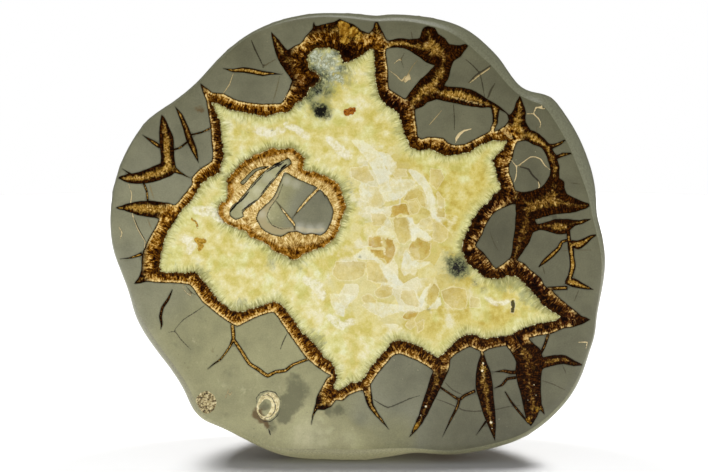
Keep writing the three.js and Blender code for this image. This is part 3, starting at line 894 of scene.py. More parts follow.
def crystalCover(vertices):
    # for each vertex: how far it is in a blocky crystal, how honey-brown that is, and the light across it
    cover, tone, shade = (np.zeros(len(vertices)) for k in range(3))
    for honey, turn, points in crystals:
        corners = toMm(points)
        shares = np.linspace(0, 1, drawing["sideSamples"])[:, None, None]
        outline = (corners[None] * (1 - shares) + np.roll(corners, -1, axis=0)[None] * shares).reshape(-1, 2)
        middle = corners.mean(axis=0)
        reach = np.linalg.norm(corners - middle, axis=1).max()
        near = np.nonzero(np.linalg.norm(vertices - middle, axis=1) < reach + 1)[0]
        if len(near) == 0:
            continue
        apart = nearest(vertices[near], outline)[1]
        share = smoothStep(*crystalEdge, np.where(inside(vertices[near], corners), apart, -apart))
        over = share > cover[near]
        near, share = near[over], share[over]
        cover[near], tone[near] = share, honey
        towards = np.array([math.cos(math.radians(turn)), math.sin(math.radians(turn))])
        shade[near] = (vertices[near] - middle) @ towards / reach
    return cover, tone, shade


def middleShare(vertices, brown, wall):
    # how near each vertex of the lining is to the middle of its own crack, 1 in the middle
    tree = kdtree.KDTree(len(brown))
    for i in brown:
        tree.insert((vertices[i][0], vertices[i][1], 0.0), i)
    tree.balance()
    share = np.zeros(len(vertices))
    for i in brown:
        near = tree.find_range((vertices[i][0], vertices[i][1], 0.0), wall[i] + aragonite["middleReach"])
        around = [found[1] for found in near]
        share[i] = wall[i] / max(wall[around].max(), aragonite["thinnestHalf"])
    return share


def faceAttributes(vertices, triangles, zone, inRing):
    # what the materials read at each vertex of the face, all lengths in mm
    stone, brown, yellow = (zoneNames.index(name) for name in ("limestone", "aragonite", "calcite"))
    walls = edgeSamples(vertices, triangles, zone, stone, brown)
    rims = edgeSamples(vertices, triangles, zone, yellow, brown)
    wallNumber, wall = nearest(vertices, walls)
    rimNumber, rim = nearest(vertices, rims)
    hairs = []
    for tone, width, points in hairlines:
        line = curveThrough(toMm(points), False, hairShape["spacing"])
        share = np.linspace(0, 1, len(line))
        taper = np.minimum(1, hairShape["endWidth"] + hairShape["widening"] * np.minimum(share, 1 - share))
        half = width / drawing["stepsPerMm"] / 2 * taper * (1 - hairShape["paleNarrowing"] * tone)
        hairs.append(np.stack([line[:, 0], line[:, 1], half, np.full(len(line), tone)], axis=1))
    hairs = np.vstack(hairs)
    hairNumber, hair = nearest(vertices, hairs[:, :2])
    values = {
        "wall": wall,
        "rim": rim,
        "hair": hair,
        "hairHalf": hairs[hairNumber, 2],
        "hairTone": hairs[hairNumber, 3],
        "golden": blendOf(vertices, aragonite["golden"]),
        "pale": blendOf(vertices, limestone["pale"]),
        "smudge": spots(vertices, limestone["smudges"]),
        "stain": spots(vertices, limestone["stains"]),
        "fleck": spots(vertices, limestone["flecks"]),
        "beige": strokeCover(vertices, limestone["beige"], strokeFade["beige"]),
        "haze": spots(vertices, limestone["haze"]),
        "creamFleck": spots(vertices, aragoniteSpots["cream"]),
        "cream": spots(vertices, fossils["cream"]),
        "veil": strokeCover(vertices, veils, strokeFade["veil"]),
        "seam": strokeCover(vertices, aragoniteSeams, strokeFade["seam"]),
        "amber": spots(vertices, aragoniteSpots["amber"]),
        "ring": np.isin(np.arange(len(vertices)), triangles[(zone == brown) & inRing]).astype(float),
        "middle": middleShare(vertices, np.unique(triangles[zone == brown]), wall),
    }
    values["crystal"], values["crystalTone"], values["crystalShade"] = crystalCover(vertices)
    for name, places in calciteSpots.items():
        values[name] = spots(vertices, places)
    return values, walls[wallNumber], rims[rimNumber]


# The whole stone's mesh.

def keptInside(line, loop, edge):
    # moves points that come too near the face's edge, or past it, back inside it
    margin = drawing["edgeMargin"]
    number, apart = nearest(line[:, :2], edge)
    foot = edge[number]
    outside = ~inside(line[:, :2], loop)
    kept = line.copy()
    for i in np.nonzero(outside | (apart < margin))[0]:
        inward = foot[i] - line[i, :2] if outside[i] else line[i, :2] - foot[i]
        inward /= max(np.linalg.norm(inward), 1e-9)
        kept[i, :2] = foot[i] + margin * inward
    return kept


def wholeStone(bodyMesh, normal, level, polish):
    # one closed mesh: the weathered body and the polished face, welded along the shoulder's inner edge
    places = placesOf(bodyMesh)
    count = len(places)
    out = np.array(normal)
    right = np.array([1.0, 0.0, 0.0])
    up = np.cross(out, right)
    loopNumbers = openLoop(bodyMesh)
    loop = np.stack([places[loopNumbers] @ right, places[loopNumbers] @ up], axis=1) * 1000
    middle = (loop.min(axis=0) + loop.max(axis=0)) / 2
    print("scene: flat face of", (loop.max(axis=0) - loop.min(axis=0)).round(2), "mm")
    loop -= middle

    def placed(points):
        # face millimetres to metres in the frame
        flat = (np.asarray(points) + middle) / 1000
        return flat[:, :1] * right + flat[:, 1:2] * up + out * level

    edge = curveThrough(loop, True, drawing["edgeSpacing"])
    lines = drawnLines()
    for name, group in lines.items():
        lines[name] = [keptInside(line, loop, edge) for line in group]
    vertices, triangles, origins = triangulatedFace(loop, lines)
    centres = vertices[triangles].mean(axis=1)
    zone = zonesOf(centres, lines)
    print("scene: face of", len(triangles), "triangles")
    values, wallFoot, rimFoot = faceAttributes(vertices, triangles, zone, inside(centres, lines["ring"][0]))
    print("scene: face measured")

    wornEdge = curveThrough(loop, True, drawing["wearSpacing"])
    apart = nearest(vertices, wornEdge)[1]
    bodyFlat = np.stack([places @ right, places @ up], axis=1) * 1000 - middle
    bodyApart = nearest(bodyFlat, wornEdge)[1]

    def worn(distance):
        # how far in metres the polish has taken the edge down at this distance from it
        share = np.clip(1 - distance / rind["edgeWearWidth"], 0, 1)[:, None]
        return rind["edgeWear"] / 1000 * share ** 2 * out

    number = np.full(len(vertices), -1)
    for i, sources in enumerate(origins):
        for source in sources:
            if source < len(loop):
                number[i] = loopNumbers[source]
    fresh = np.nonzero(number < 0)[0]
    number[fresh] = count + np.arange(len(fresh))
    corners = [tuple(polygon.vertices) for polygon in bodyMesh.polygons]
    mesh = bpy.data.meshes.new("nodule")
    allPlaces = np.vstack([places - worn(bodyApart), placed(vertices[fresh]) - worn(apart[fresh])])
    mesh.from_pydata(allPlaces, [], corners + [tuple(number[corner] for corner in t) for t in triangles])
    slots = np.concatenate([np.zeros(len(corners), dtype=int), zone])
    mesh.polygons.foreach_set("material_index", slots)
    mesh.polygons.foreach_set("use_smooth", np.ones(len(slots), dtype=bool))

    def keep(name, faceValues, bodyValues=None):
        width = 1 if faceValues.ndim == 1 else 3
        attribute = mesh.attributes.new(name, "FLOAT" if width == 1 else "FLOAT_VECTOR", "POINT")
        whole = np.zeros((len(allPlaces), width))
        if bodyValues is not None:
            whole[:count, 0] = bodyValues
        whole[number] = faceValues.reshape(len(vertices), width)
        attribute.data.foreach_set("value" if width == 1 else "vector", whole.ravel())

    for name, value in values.items():
        keep(name, value)
    keep("wallFoot", placed(wallFoot) * 1000)
    keep("rimFoot", placed(rimFoot) * 1000)
    keep("polish", np.ones(len(vertices)), polish)
    mesh.validate()
    stone = bpy.data.objects.new("septarianNodule", mesh)
    bpy.context.collection.objects.link(stone)
    return stone, placed


# The materials, on the object's own coordinates in mm and what was measured on the face.

def newMaterial(name):
    material = bpy.data.materials.new(name)
    material.use_nodes = True
    material.node_tree.nodes.clear()
    return material, material.node_tree


def finishMaterial(tree, settings):
    surface = addNode(tree, "ShaderNodeBsdfPrincipled", settings)
    addNode(tree, "ShaderNodeOutputMaterial", {"Surface": surface})


def mmPlace(tree):
    # the surface point in mm, so that pattern sizes are real millimetres
    place = addNode(tree, "ShaderNodeTexCoord", {}).outputs["Object"]
    return scaled(tree, place, 1000.0)


def valueOf(tree, name):
    return addNode(tree, "ShaderNodeAttribute", {"attribute_name": name}).outputs["Fac"]


def eased(tree, value, low, high):
    # 0 at low, 1 at high, smooth between
    return addNode(tree, "ShaderNodeMapRange", {
        "interpolation_type": "SMOOTHSTEP", "Value": value, "From Min": low, "From Max": high})


def ramp(tree, value, stops):
    return addNode(tree, "ShaderNodeValToRGB", {"stops": stops, "Fac": value}).outputs["Color"]


def scaled(tree, colour, factor):
    return addNode(tree, "ShaderNodeVectorMath", {"operation": "SCALE", 0: colour, "Scale": factor})


def blended(tree, share, under, over, mode="MIX"):
    return addNode(tree, "ShaderNodeMix", {
        "data_type": "RGBA", "blend_type": mode, "Factor": share, "A": under, "B": over})


def washed(tree, under, share, most, over):
    # a colour with up to a share of another laid over it
    return blended(tree, times(tree, share, most), under, over)


def dimmed(tree, colour, noise, stops):
    # a colour darkened by greys that follow a noise
    return blended(tree, 1.0, colour, ramp(tree, noise, stops), "MULTIPLY")


def grain(tree, place, size, detail=2.0, roughness=0.5):
    # a noise whose swells are about size mm across
    return addNode(tree, "ShaderNodeTexNoise", {
        "Vector": place, "Scale": 1 / size, "Detail": detail, "Roughness": roughness}).outputs[0]


def grownPlace(tree, place, footName, along):
    # a place for patterns that run square to the edge whose nearest point is in footName
    foot = addNode(tree, "ShaderNodeAttribute", {"attribute_name": footName}).outputs["Vector"]
    return addNode(tree, "ShaderNodeMix", {"data_type": "VECTOR", "Factor": along, "A": foot, "B": place})


def strayed(tree, value, noise, amount):
    # the value pushed up and down by a noise
    return calc(tree, "ADD", value, times(tree, calc(tree, "SUBTRACT", noise, 0.5), amount))


def patchy(tree, colour, name, noise, amount, limits, most, over):
    # a wash where the face's value of that name is high, its edge made ragged by a noise
    share = eased(tree, strayed(tree, valueOf(tree, name), noise, amount), *limits)
    return washed(tree, colour, share, most, over)


def spotted(tree, name, fine, fineAmount, coarse, coarseAmount):
    # a soft spot made ragged by two noises, and nothing outside it
    ragged = strayed(tree, strayed(tree, 1.0, fine, fineAmount), coarse, coarseAmount)
    return times(tree, valueOf(tree, name), ragged)


def hairlineOver(tree, place, colour):
    # thin cracks over a colour, from black to cream by their tone, the pale ones with a dark edge
    tone = valueOf(tree, "hairTone")
    apart = strayed(tree, valueOf(tree, "hair"), grain(tree, place, 0.5), 0.35)
    gap = calc(tree, "SUBTRACT", apart, valueOf(tree, "hairHalf"))
    colour = washed(tree, colour, times(tree, eased(tree, gap, 0.26, 0.02), tone), 0.6, "#3f3a26")
    crack = ramp(tree, tone, [(0.0, "#191107"), (0.3, "#403b28"), (0.6, "#87754b"), (1.0, "#d3bf90")])
    return blended(tree, eased(tree, gap, 0.1, -0.06), colour, crack)


def liningFibres(tree, place):
    # fine fibres that stand on the lining's wall
    return grain(tree, grownPlace(tree, place, "wallFoot", 0.22), 0.42, 3.0, 0.65)


def edgeStray(tree, place):
    # how far in mm the brown reaches over its drawn edge into the yellow: both materials use the same
    grown = grownPlace(tree, place, "rimFoot", 0.5)
    return strayed(tree, 0.0, grain(tree, grown, 0.8, 4.0, 0.7), 1.7)


def fringeColour(tree, streaks):
    # the calcite's pale greenish first growth
    return ramp(tree, streaks, [(0.32, "#9a9a5c"), (0.46, "#bfbe82"), (0.58, "#d1d09b"), (0.72, "#e0e0b9")])


def tipColour(tree, noise):
    # the dark tips of the lining, redder where it is golden, rusty on the island
    dark = ramp(tree, noise, [(0.4, "#0e0300"), (0.62, "#351903")])
    warm = ramp(tree, noise, [(0.4, "#220f01"), (0.62, "#66400c")])
    rusty = ramp(tree, noise, [(0.4, "#472805"), (0.62, "#9c6c20")])
    golden = eased(tree, valueOf(tree, "golden"), 0.15, 0.72)
    return blended(tree, valueOf(tree, "ring"), blended(tree, golden, dark, warm), rusty)


def polishedLimestone():
    # grey-olive mudstone ground flat and polished: dense and even, with faint clouds and a soft gloss
    material, tree = newMaterial("polished grey limestone")
    place = mmPlace(tree)
    # the stone's tone from its value of pale, which holds painted light too: paler at the lower left and the
    # bottom
    colour = ramp(tree, times(tree, valueOf(tree, "pale"), 0.7), [
        (0.0, "#585642"), (0.175, "#6b6951"), (0.35, "#83826a"), (0.525, "#95926b"), (0.7, "#ada97e"),
        (1.0, "#d2cda4")])
    colour = dimmed(tree, colour, grain(tree, place, 9.0, 4.0, 0.6), [(0.3, "#dcdcdc"), (0.7, "#ffffff")])
    colour = dimmed(tree, colour, grain(tree, place, 0.42), [(0.3, "#ececec"), (0.7, "#ffffff")])
    grit = grain(tree, place, 0.9, 1.0)
    colour = washed(tree, colour, eased(tree, grit, 0.76, 0.84), 0.35, "#b8b28d")
    colour = washed(tree, colour, eased(tree, grit, 0.26, 0.2), 0.4, "#454230")
    mottle = grain(tree, place, 4.0, 4.0, 0.65)
    patch = grain(tree, place, 2.0, 3.0)
    # pale clouds where that value is highest, at the bottom: partly the stone's own tone, partly painted
    # light
    colour = patchy(tree, colour, "pale", mottle, 3.2, (1.1, 1.7), 0.4, "#c2be96")
    colour = patchy(tree, colour, "beige", patch, 0.8, (0.2, 0.8), 0.8, "#9f916a")
    colour = washed(tree, colour, valueOf(tree, "haze"), 0.6, "#b9b6a4")
    colour = patchy(tree, colour, "smudge", patch, 1.3, (0.25, 0.9), 0.75, "#54533b")
    colour = patchy(tree, colour, "stain", patch, 1.2, (0.2, 0.9), 0.85, "#54390f")
    colour = patchy(tree, colour, "wall", patch, 0.5, (0.42, 0.02), 0.55, "#2e2a1c")
    colour = hairlineOver(tree, place, colour)
    colour = blended(tree, valueOf(tree, "fleck"), colour, "#2b2519")
    finishMaterial(tree, {"Base Color": colour, "Roughness": 0.32, "Specular IOR Level": 0.3})
    return material


def liningColour(tree, wall, share, golden, fibres, blots, grains):
    # golden brown at the wall, then darker and redder towards the calcite
    profile = addNode(tree, "ShaderNodeMapRange", {"Value": share, "To Min": 0.68, "To Max": 0.34})
    value = strayed(tree, strayed(tree, strayed(tree, profile, fibres, 1.05), blots, 0.85), grains, 0.65)
    dark = ramp(tree, value, [
        (0.42, "#070100"), (0.53, "#1a0701"), (0.61, "#3c1505"), (0.68, "#663d16"), (0.78, "#b0935c")])
    warm = ramp(tree, value, [
        (0.31, "#0f0500"), (0.42, "#311501"), (0.51, "#5e3605"), (0.61, "#926316"), (0.74, "#d6b469")])
    colour = blended(tree, eased(tree, strayed(tree, golden, blots, 0.5), 0.12, 0.7), dark, warm)
    # a row of pale golden grains close to the wall
    rowStart = eased(tree, strayed(tree, wall, grains, 0.5), 0.3, 0.46)
    rowEnd = eased(tree, strayed(tree, wall, grains, 1.0), 0.98, 0.72)
    broken = eased(tree, strayed(tree, golden, blots, 2.0), 0.1, 0.55)
    row = ramp(tree, strayed(tree, grains, fibres, 0.8), [
        (0.36, "#8d6727"), (0.48, "#c2a05a"), (0.6, "#e2cd93")])
    return washed(tree, colour, times(tree, times(tree, rowStart, rowEnd), broken), 0.95, row)


def sideCrackColour(tree, half, middle, golden, fibres, blots, grains):
    # dark walls, with a golden fibrous seam in the middle where the crack is wide
    value = strayed(tree, strayed(tree, 0.5, fibres, 0.8), grains, 0.8)
    sides = ramp(tree, value, [(0.36, "#080200"), (0.52, "#1c0a01"), (0.66, "#472504")])
    gold = ramp(tree, value, [
        (0.3, "#2c1804"), (0.42, "#67460f"), (0.52, "#97722a"), (0.64, "#c2a158"), (0.8, "#ead8a4")])
    dark = ramp(tree, value, [
        (0.38, "#110400"), (0.51, "#301503"), (0.61, "#5f380d"), (0.71, "#a57f42"), (0.82, "#e0cf9f")])
    seam = blended(tree, eased(tree, strayed(tree, golden, blots, 0.8), 0.15, 0.62), dark, gold)
    ragged = strayed(tree, middle, blots, times(tree, eased(tree, half, 0.45, 1.4), 0.9))
    core = calc(tree, "ADD", ragged, times(tree, golden, 0.5))
    return blended(tree, eased(tree, core, 0.68, 1.05), sides, seam)


def islandLiningColour(tree, share, golden, fibres, blots, grains):
    # cream-tan inside, orange-brown fibres outside
    value = strayed(tree, strayed(tree, strayed(tree, 0.5, fibres, 0.9), blots, 0.6), grains, 0.5)
    value = calc(tree, "ADD", value, times(tree, calc(tree, "SUBTRACT", golden, 0.95), 0.3))
    tan = ramp(tree, value, [
        (0.26, "#6b4a1a"), (0.38, "#a98745"), (0.48, "#c7ab6c"), (0.58, "#dcc891"), (0.72, "#f2e7c2")])
    orange = ramp(tree, value, [
        (0.26, "#200d00"), (0.36, "#553104"), (0.46, "#875b15"), (0.56, "#ae8337"), (0.7, "#dcbf7c")])
    return blended(tree, eased(tree, share, 0.45, 0.7), tan, orange)


def polishedAragonite():
    # brown aragonite that lines the cracks: a black edge at the wall, golden grains, then red-brown fibres
    material, tree = newMaterial("polished brown aragonite")
    place = mmPlace(tree)
    wall, rim, golden, middle = (valueOf(tree, name) for name in ("wall", "rim", "golden", "middle"))
    fibres = liningFibres(tree, place)
    blots = grain(tree, grownPlace(tree, place, "wallFoot", 0.65), 1.4, 3.0, 0.6)
    grains = grain(tree, place, 0.6, 3.0, 0.7)
    share = strayed(tree, calc(tree, "DIVIDE", wall, calc(tree, "ADD", wall, rim)), blots, 0.5)
    half = calc(tree, "DIVIDE", wall, calc(tree, "MAXIMUM", middle, 0.05))
    lining = liningColour(tree, wall, share, golden, fibres, blots, grains)
    side = sideCrackColour(tree, half, middle, golden, fibres, blots, grains)
    ring = islandLiningColour(tree, share, golden, fibres, blots, grains)
    colour = blended(tree, eased(tree, rim, 3.8, 6.2), lining, side)
    colour = blended(tree, valueOf(tree, "ring"), colour, ring)
    amber = ramp(tree, blots, [(0.36, "#5e3a0a"), (0.5, "#8f6418"), (0.62, "#c6a146")])
    colour = patchy(tree, colour, "amber", grains, 1.8, (0.25, 0.75), 0.85, amber)
    colour = patchy(tree, colour, "seam", grains, 3.0, (0.6, 1.2), 0.6, "#c9ab6c")
    colour = patchy(tree, colour, "creamFleck", grains, 1.2, (0.4, 0.7), 1.0, "#e8dcb8")
    # the black edge along the wall, thinner in a thin crack
    edgeWidth = calc(tree, "MINIMUM", 0.42, times(tree, half, 0.5))
    edge = eased(tree, strayed(tree, calc(tree, "DIVIDE", wall, edgeWidth), grains, 0.9), 1.0, 0.5)
    colour = washed(tree, colour, edge, 0.9, "#130901")
    # scalloped dark tips, and the calcite that shows between them
    overEdge = calc(tree, "ADD", rim, edgeStray(tree, place))
    colour = washed(tree, colour, eased(tree, overEdge, 1.6, 0.2), 0.75, tipColour(tree, fibres))
    colour = blended(tree, eased(tree, overEdge, 0.2, -0.16), colour, fringeColour(tree, fibres))
    finishMaterial(tree, {"Base Color": colour, "Roughness": 0.3, "Specular IOR Level": 0.03})
    return material


def blockyCrystals(tree, place, size, contrast):
    # crystals about size mm across: a random colour for each, and the light falling off across each
    cells = addNode(tree, "ShaderNodeTexVoronoi", {"Vector": place, "Scale": 1 / size})
    own = cells.outputs["Color"]
    across = addNode(tree, "ShaderNodeVectorMath", {
        "operation": "SUBTRACT", 0: place, 1: cells.outputs["Position"]})
    towards = addNode(tree, "ShaderNodeVectorMath", {"operation": "SUBTRACT", 0: own, 1: (0.5, 0.5, 0.5)})
    fall = addNode(tree, "ShaderNodeVectorMath", {"operation": "DOT_PRODUCT", 0: across, 1: towards})
    light = addNode(tree, "ShaderNodeMapRange", {
        "Value": fall.outputs["Value"], "From Min": -size / 3, "From Max": size / 3,
        "To Min": 1 - contrast, "To Max": 1 + contrast / 3})
    return own, light


def acrossFace(tree, place):
    # mm to the right of the stone's middle
    return addNode(tree, "ShaderNodeSeparateXYZ", {"Vector": place}).outputs["X"]


def calciteMass(tree, place, mottle, slow):
    # sugary yellow, deeper towards the right, with slow greenish clouds
    colour = ramp(tree, mottle, [
        (0.32, "#c1b35e"), (0.42, "#cbbd72"), (0.5, "#d2c684"), (0.58, "#d7ce97"), (0.7, "#ddd6b2")])
    deep = ramp(tree, mottle, [
        (0.32, "#b39c41"), (0.42, "#bdaa53"), (0.5, "#c6b562"), (0.58, "#cdbf75"), (0.7, "#d2c990")])
    greenish = ramp(tree, mottle, [(0.36, "#bdbd70"), (0.5, "#cbcb88"), (0.64, "#d8dbac")])
    right = eased(tree, strayed(tree, acrossFace(tree, place), slow, 60.0), -5.0, 38.0)
    return washed(tree, blended(tree, right, colour, deep), eased(tree, slow, 0.5, 0.62), 0.5, greenish)


def heartBlocks(tree, colour, bent, mottle, facetLight):
    # large translucent crystals that lie edge to edge in the heart
    own, light = blockyCrystals(tree, bent, 6.5, 0.12)
    blocks = ramp(tree, strayed(tree, own, mottle, 0.5), [
        (0.25, "#c8b66c"), (0.38, "#d1c481"), (0.5, "#d6cd98"), (0.62, "#d3c480"), (0.76, "#dcd5b5")])
    blocks = scaled(tree, scaled(tree, blocks, light), facetLight)
    return patchy(tree, colour, "heart", mottle, 1.5, (0.3, 0.8), 0.85, blocks)


def calciteRim(tree, colour, place, slow):
    # pale and fibrous at the rim, green and hairy in places, with a narrow shadow at the lining
    rim = valueOf(tree, "rim")
    strands = grain(tree, grownPlace(tree, place, "rimFoot", 0.16), 0.5, 2.0, 0.6)
    tufts = grain(tree, grownPlace(tree, place, "rimFoot", 0.35), 0.9, 3.0, 0.65)
    reach = strayed(tree, strayed(tree, rim, strands, 1.6), slow, 5.0)
    colour = washed(tree, colour, eased(tree, reach, 4.4, 0.6), 0.75, fringeColour(tree, strands))
    colour = patchy(tree, colour, "green", tufts, 2.2, (0.3, 1.1), 0.66, "#828455")
    near = eased(tree, strayed(tree, rim, strands, 5.0), 2.1, 0.3)
    hairiness = calc(tree, "ADD", times(tree, valueOf(tree, "hairy"), 0.5), 0.1)
    colour = washed(tree, colour, near, hairiness, "#625f3c")
    shade = eased(tree, strayed(tree, strayed(tree, rim, strands, 3.0), slow, 4.0), 2.2, 0.2)
    return washed(tree, colour, shade, 0.42, "#8f8a4c")


def singleCrystals(tree, colour, place, mottle, facetLight):
    # the drawn crystals, cream to honey, each with the light across it, a faded side and a pale outline
    cover, tone, light = (valueOf(tree, name) for name in ("crystal", "crystalTone", "crystalShade"))
    clouded = calc(tree, "MINIMUM", 0.96, strayed(tree, tone, grain(tree, place, 2.4, 3.0, 0.6), 1.0))
    slit = eased(tree, tone, 0.97, 0.99)
    honey = ramp(tree, calc(tree, "MAXIMUM", clouded, slit), [
        (0.0, "#e2e0cb"), (0.15, "#dcd5b0"), (0.4, "#d3c48c"), (0.6, "#c9b673"), (0.82, "#bfa855"),
        (0.96, "#b59138"), (0.99, "#433c12")])
    shade = addNode(tree, "ShaderNodeMapRange", {
        "Value": light, "From Min": -1.0, "From Max": 1.0, "To Min": 0.84, "To Max": 1.1})
    honey = scaled(tree, scaled(tree, honey, shade), facetLight)
    fade = addNode(tree, "ShaderNodeMapRange", {
        "Value": strayed(tree, light, mottle, 3.0), "From Min": -0.6, "From Max": 1.0,
        "To Min": 0.95, "To Max": 0.5})
    within = eased(tree, cover, 0.15, 0.85)
    colour = washed(tree, colour, within, calc(tree, "MAXIMUM", fade, slit), honey)
    outline = times(tree, eased(tree, cover, 0.1, 0.35), eased(tree, cover, 0.8, 0.45))
    return washed(tree, colour, outline, 0.24, "#efe9d2")


def calciteVeils(tree, colour, wisp, facet, facetLight):
    # white wisps between the crystals
    cloudy = eased(tree, times(tree, valueOf(tree, "veil"), strayed(tree, 1.0, wisp, 3.0)), 0.1, 1.2)
    veil = ramp(tree, strayed(tree, wisp, facet, 0.2), [
        (0.36, "#d9d2b4"), (0.5, "#e3decb"), (0.64, "#edeadc")])
    return washed(tree, colour, cloudy, 0.7, scaled(tree, veil, facetLight))


def calciteStains(tree, colour, place, wisp):
    # sugary grey, rust that is golden on the left and red-brown further right, ink with an olive halo
    speck = grain(tree, place, 0.8, 3.0, 0.7)
    grey = ramp(tree, strayed(tree, speck, wisp, 0.8), [
        (0.34, "#45493a"), (0.44, "#747963"), (0.55, "#989e86"), (0.7, "#bfc4b2")])
    greyShare = eased(tree, spotted(tree, "grey", speck, 2.0, wisp, 3.0), 0.2, 0.9)
    colour = washed(tree, colour, greyShare, 0.9, grey)
    golden = ramp(tree, speck, [(0.4, "#7e5c12"), (0.6, "#b6902f")])
    redBrown = ramp(tree, speck, [(0.4, "#632c02"), (0.6, "#a0631c")])
    rust = blended(tree, eased(tree, acrossFace(tree, place), -30.0, -10.0), golden, redBrown)
    rustShare = eased(tree, spotted(tree, "rust", speck, 2.0, wisp, 1.0), 0.3, 0.6)
    colour = blended(tree, rustShare, colour, rust)
    ink = spotted(tree, "ink", grain(tree, place, 0.5, 3.0, 0.6), 2.4, wisp, 3.0)
    colour = washed(tree, colour, eased(tree, ink, 0.0, 0.8), 0.75, "#4f563d")
    return blended(tree, eased(tree, ink, 0.4, 1.5), colour, "#0c0902")


def polishedCalcite():
    # yellow calcite that fills the middle: sugary and mottled, pale fibres at its rim, blocky in its heart
    material, tree = newMaterial("polished yellow calcite")
    place = mmPlace(tree)
    slow = grain(tree, place, 8.0)
    fine = grain(tree, grownPlace(tree, place, "rimFoot", 0.35), 0.9, 3.0, 0.6)
    mottle = strayed(tree, grain(tree, place, 3.6, 3.0, 0.55), fine, 0.3)
    # the crystals' sides are bent a little, by this many mm
    warp = addNode(tree, "ShaderNodeTexNoise", {"Vector": place, "Scale": 0.35}).outputs["Color"]
    bent = addNode(tree, "ShaderNodeVectorMath", {
        "operation": "MULTIPLY_ADD", 0: warp, 1: (1.6, 1.6, 1.6), 2: place})
    wisp = grain(tree, bent, 1.6, 3.0, 0.6)
    facet, facetLight = blockyCrystals(tree, bent, 2.8, 0.05)
    colour = calciteMass(tree, place, mottle, slow)
    colour = heartBlocks(tree, colour, bent, mottle, facetLight)
    colour = calciteRim(tree, colour, place, slow)
    colour = singleCrystals(tree, colour, place, mottle, facetLight)
    colour = calciteVeils(tree, colour, wisp, facet, facetLight)
    colour = dimmed(tree, colour, grain(tree, place, 0.5, 2.0, 0.6), [
        (0.3, "#f0f0e4"), (0.55, "#f9f9f5"), (0.7, "#ffffff")])
    colour = calciteStains(tree, colour, place, wisp)
    # the lining's dark tips that reach over the edge, and their soft shadow
    overEdge = calc(tree, "SUBTRACT", valueOf(tree, "rim"), edgeStray(tree, place))
    tips = tipColour(tree, liningFibres(tree, place))
    colour = washed(tree, colour, eased(tree, overEdge, 0.7, 0.0), 0.6, "#6f6033")
    colour = blended(tree, eased(tree, overEdge, 0.2, -0.16), colour, tips)
    finishMaterial(tree, {"Base Color": colour, "Roughness": 0.25, "Specular IOR Level": 0.35})
    return material


def polishedShell():
    # fossil shell sliced by the saw: cream, pitted, a little browned
    material, tree = newMaterial("sliced fossil shell")
    place = mmPlace(tree)
    pits = grain(tree, place, 0.9, 3.0, 0.75)
    brown = ramp(tree, pits, [(0.38, "#33260f"), (0.46, "#6f5c34"), (0.54, "#a99a6c"), (0.66, "#d6caa2")])
    cream = ramp(tree, pits, [(0.34, "#a3915e"), (0.44, "#cabb88"), (0.54, "#ddd1a2"), (0.7, "#ebe2bc")])
    colour = hairlineOver(tree, place, blended(tree, valueOf(tree, "cream"), brown, cream))
    finishMaterial(tree, {"Base Color": colour, "Roughness": 0.4, "Specular IOR Level": 0.3})
    return material


def openGap():
    # narrow open slot in the polished face: no gloss, nearly black
    material, tree = newMaterial("open gap in the stone")
    finishMaterial(tree, {"Base Color": "#120d07", "Roughness": 0.9, "Specular IOR Level": 0.1})
    return material


def sawnShoulder(tree, place):
    # the rim beside the face: painted light that makes it paler towards the ground, painted shade that makes
    # it darker higher up, and darker at the lower right
    axes = addNode(tree, "ShaderNodeSeparateXYZ", {"Vector": place}).outputs
    # painted light and shade by height: paler at the ground, darker towards the top
    colour = ramp(tree, calc(tree, "DIVIDE", axes["Z"], 150.0), [
        (0.0, "#b3ae86"), (0.06, "#a6a27b"), (0.2, "#86836a"), (0.6, "#7f7f69"), (1.0, "#77775f")])
    lowRight = times(tree, eased(tree, axes["X"], 14.0, 34.0), eased(tree, axes["Z"], 62.0, 34.0))
    colour = washed(tree, colour, lowRight, 0.85, "#757459")
    return dimmed(tree, colour, grain(tree, place, 0.6, 3.0), [(0.3, "#d6d6d6"), (0.7, "#ffffff")])


def roughOutside(tree, place, pits, knobs):
    # grey-tan with ochre stains, dark in its pits and hollows and pale on what stands out
    colour = ramp(tree, grain(tree, place, 13.0, 7.0, 0.7), [
        (0.36, "#665d47"), (0.5, "#8d836a"), (0.64, "#aca287")])
    stain = eased(tree, grain(tree, place, 22.0, 7.0, 0.7), 0.51, 0.62)
    colour = washed(tree, colour, stain, 0.55, "#86632f")
    colour = washed(tree, colour, eased(tree, knobs, 0.46, 0.34), 0.6, "#554c39")
    colour = washed(tree, colour, eased(tree, pits, 0.42, 0.3), 0.7, "#3f3728")
    return washed(tree, colour, eased(tree, pits, 0.58, 0.72), 0.5, "#bdb498")


def weatheredRind():
    # the nodule's outside: dull grey-tan mudstone, pitted and stained ochre, polished only on the shoulder
    material, tree = newMaterial("weathered limestone rind")
    place = mmPlace(tree)
    polish = valueOf(tree, "polish")
    pits = grain(tree, place, 0.9, 3.0, 0.7)
    knobs = grain(tree, place, 3.4, 5.0, 0.65)
    colour = blended(tree, polish, roughOutside(tree, place, pits, knobs), sawnShoulder(tree, place))
    gloss = addNode(tree, "ShaderNodeMapRange", {"Value": polish, "To Min": 0.85, "To Max": 0.34})
    lumps = calc(tree, "ADD", pits, times(tree, knobs, 2.0))
    relief = times(tree, lumps, calc(tree, "SUBTRACT", 1.0, polish))
    bump = addNode(tree, "ShaderNodeBump", {"Strength": 0.8, "Distance": 0.001, "Height": relief})
    finishMaterial(tree, {
        "Base Color": colour, "Roughness": gloss, "Normal": bump, "Specular IOR Level": 0.3})
    return material


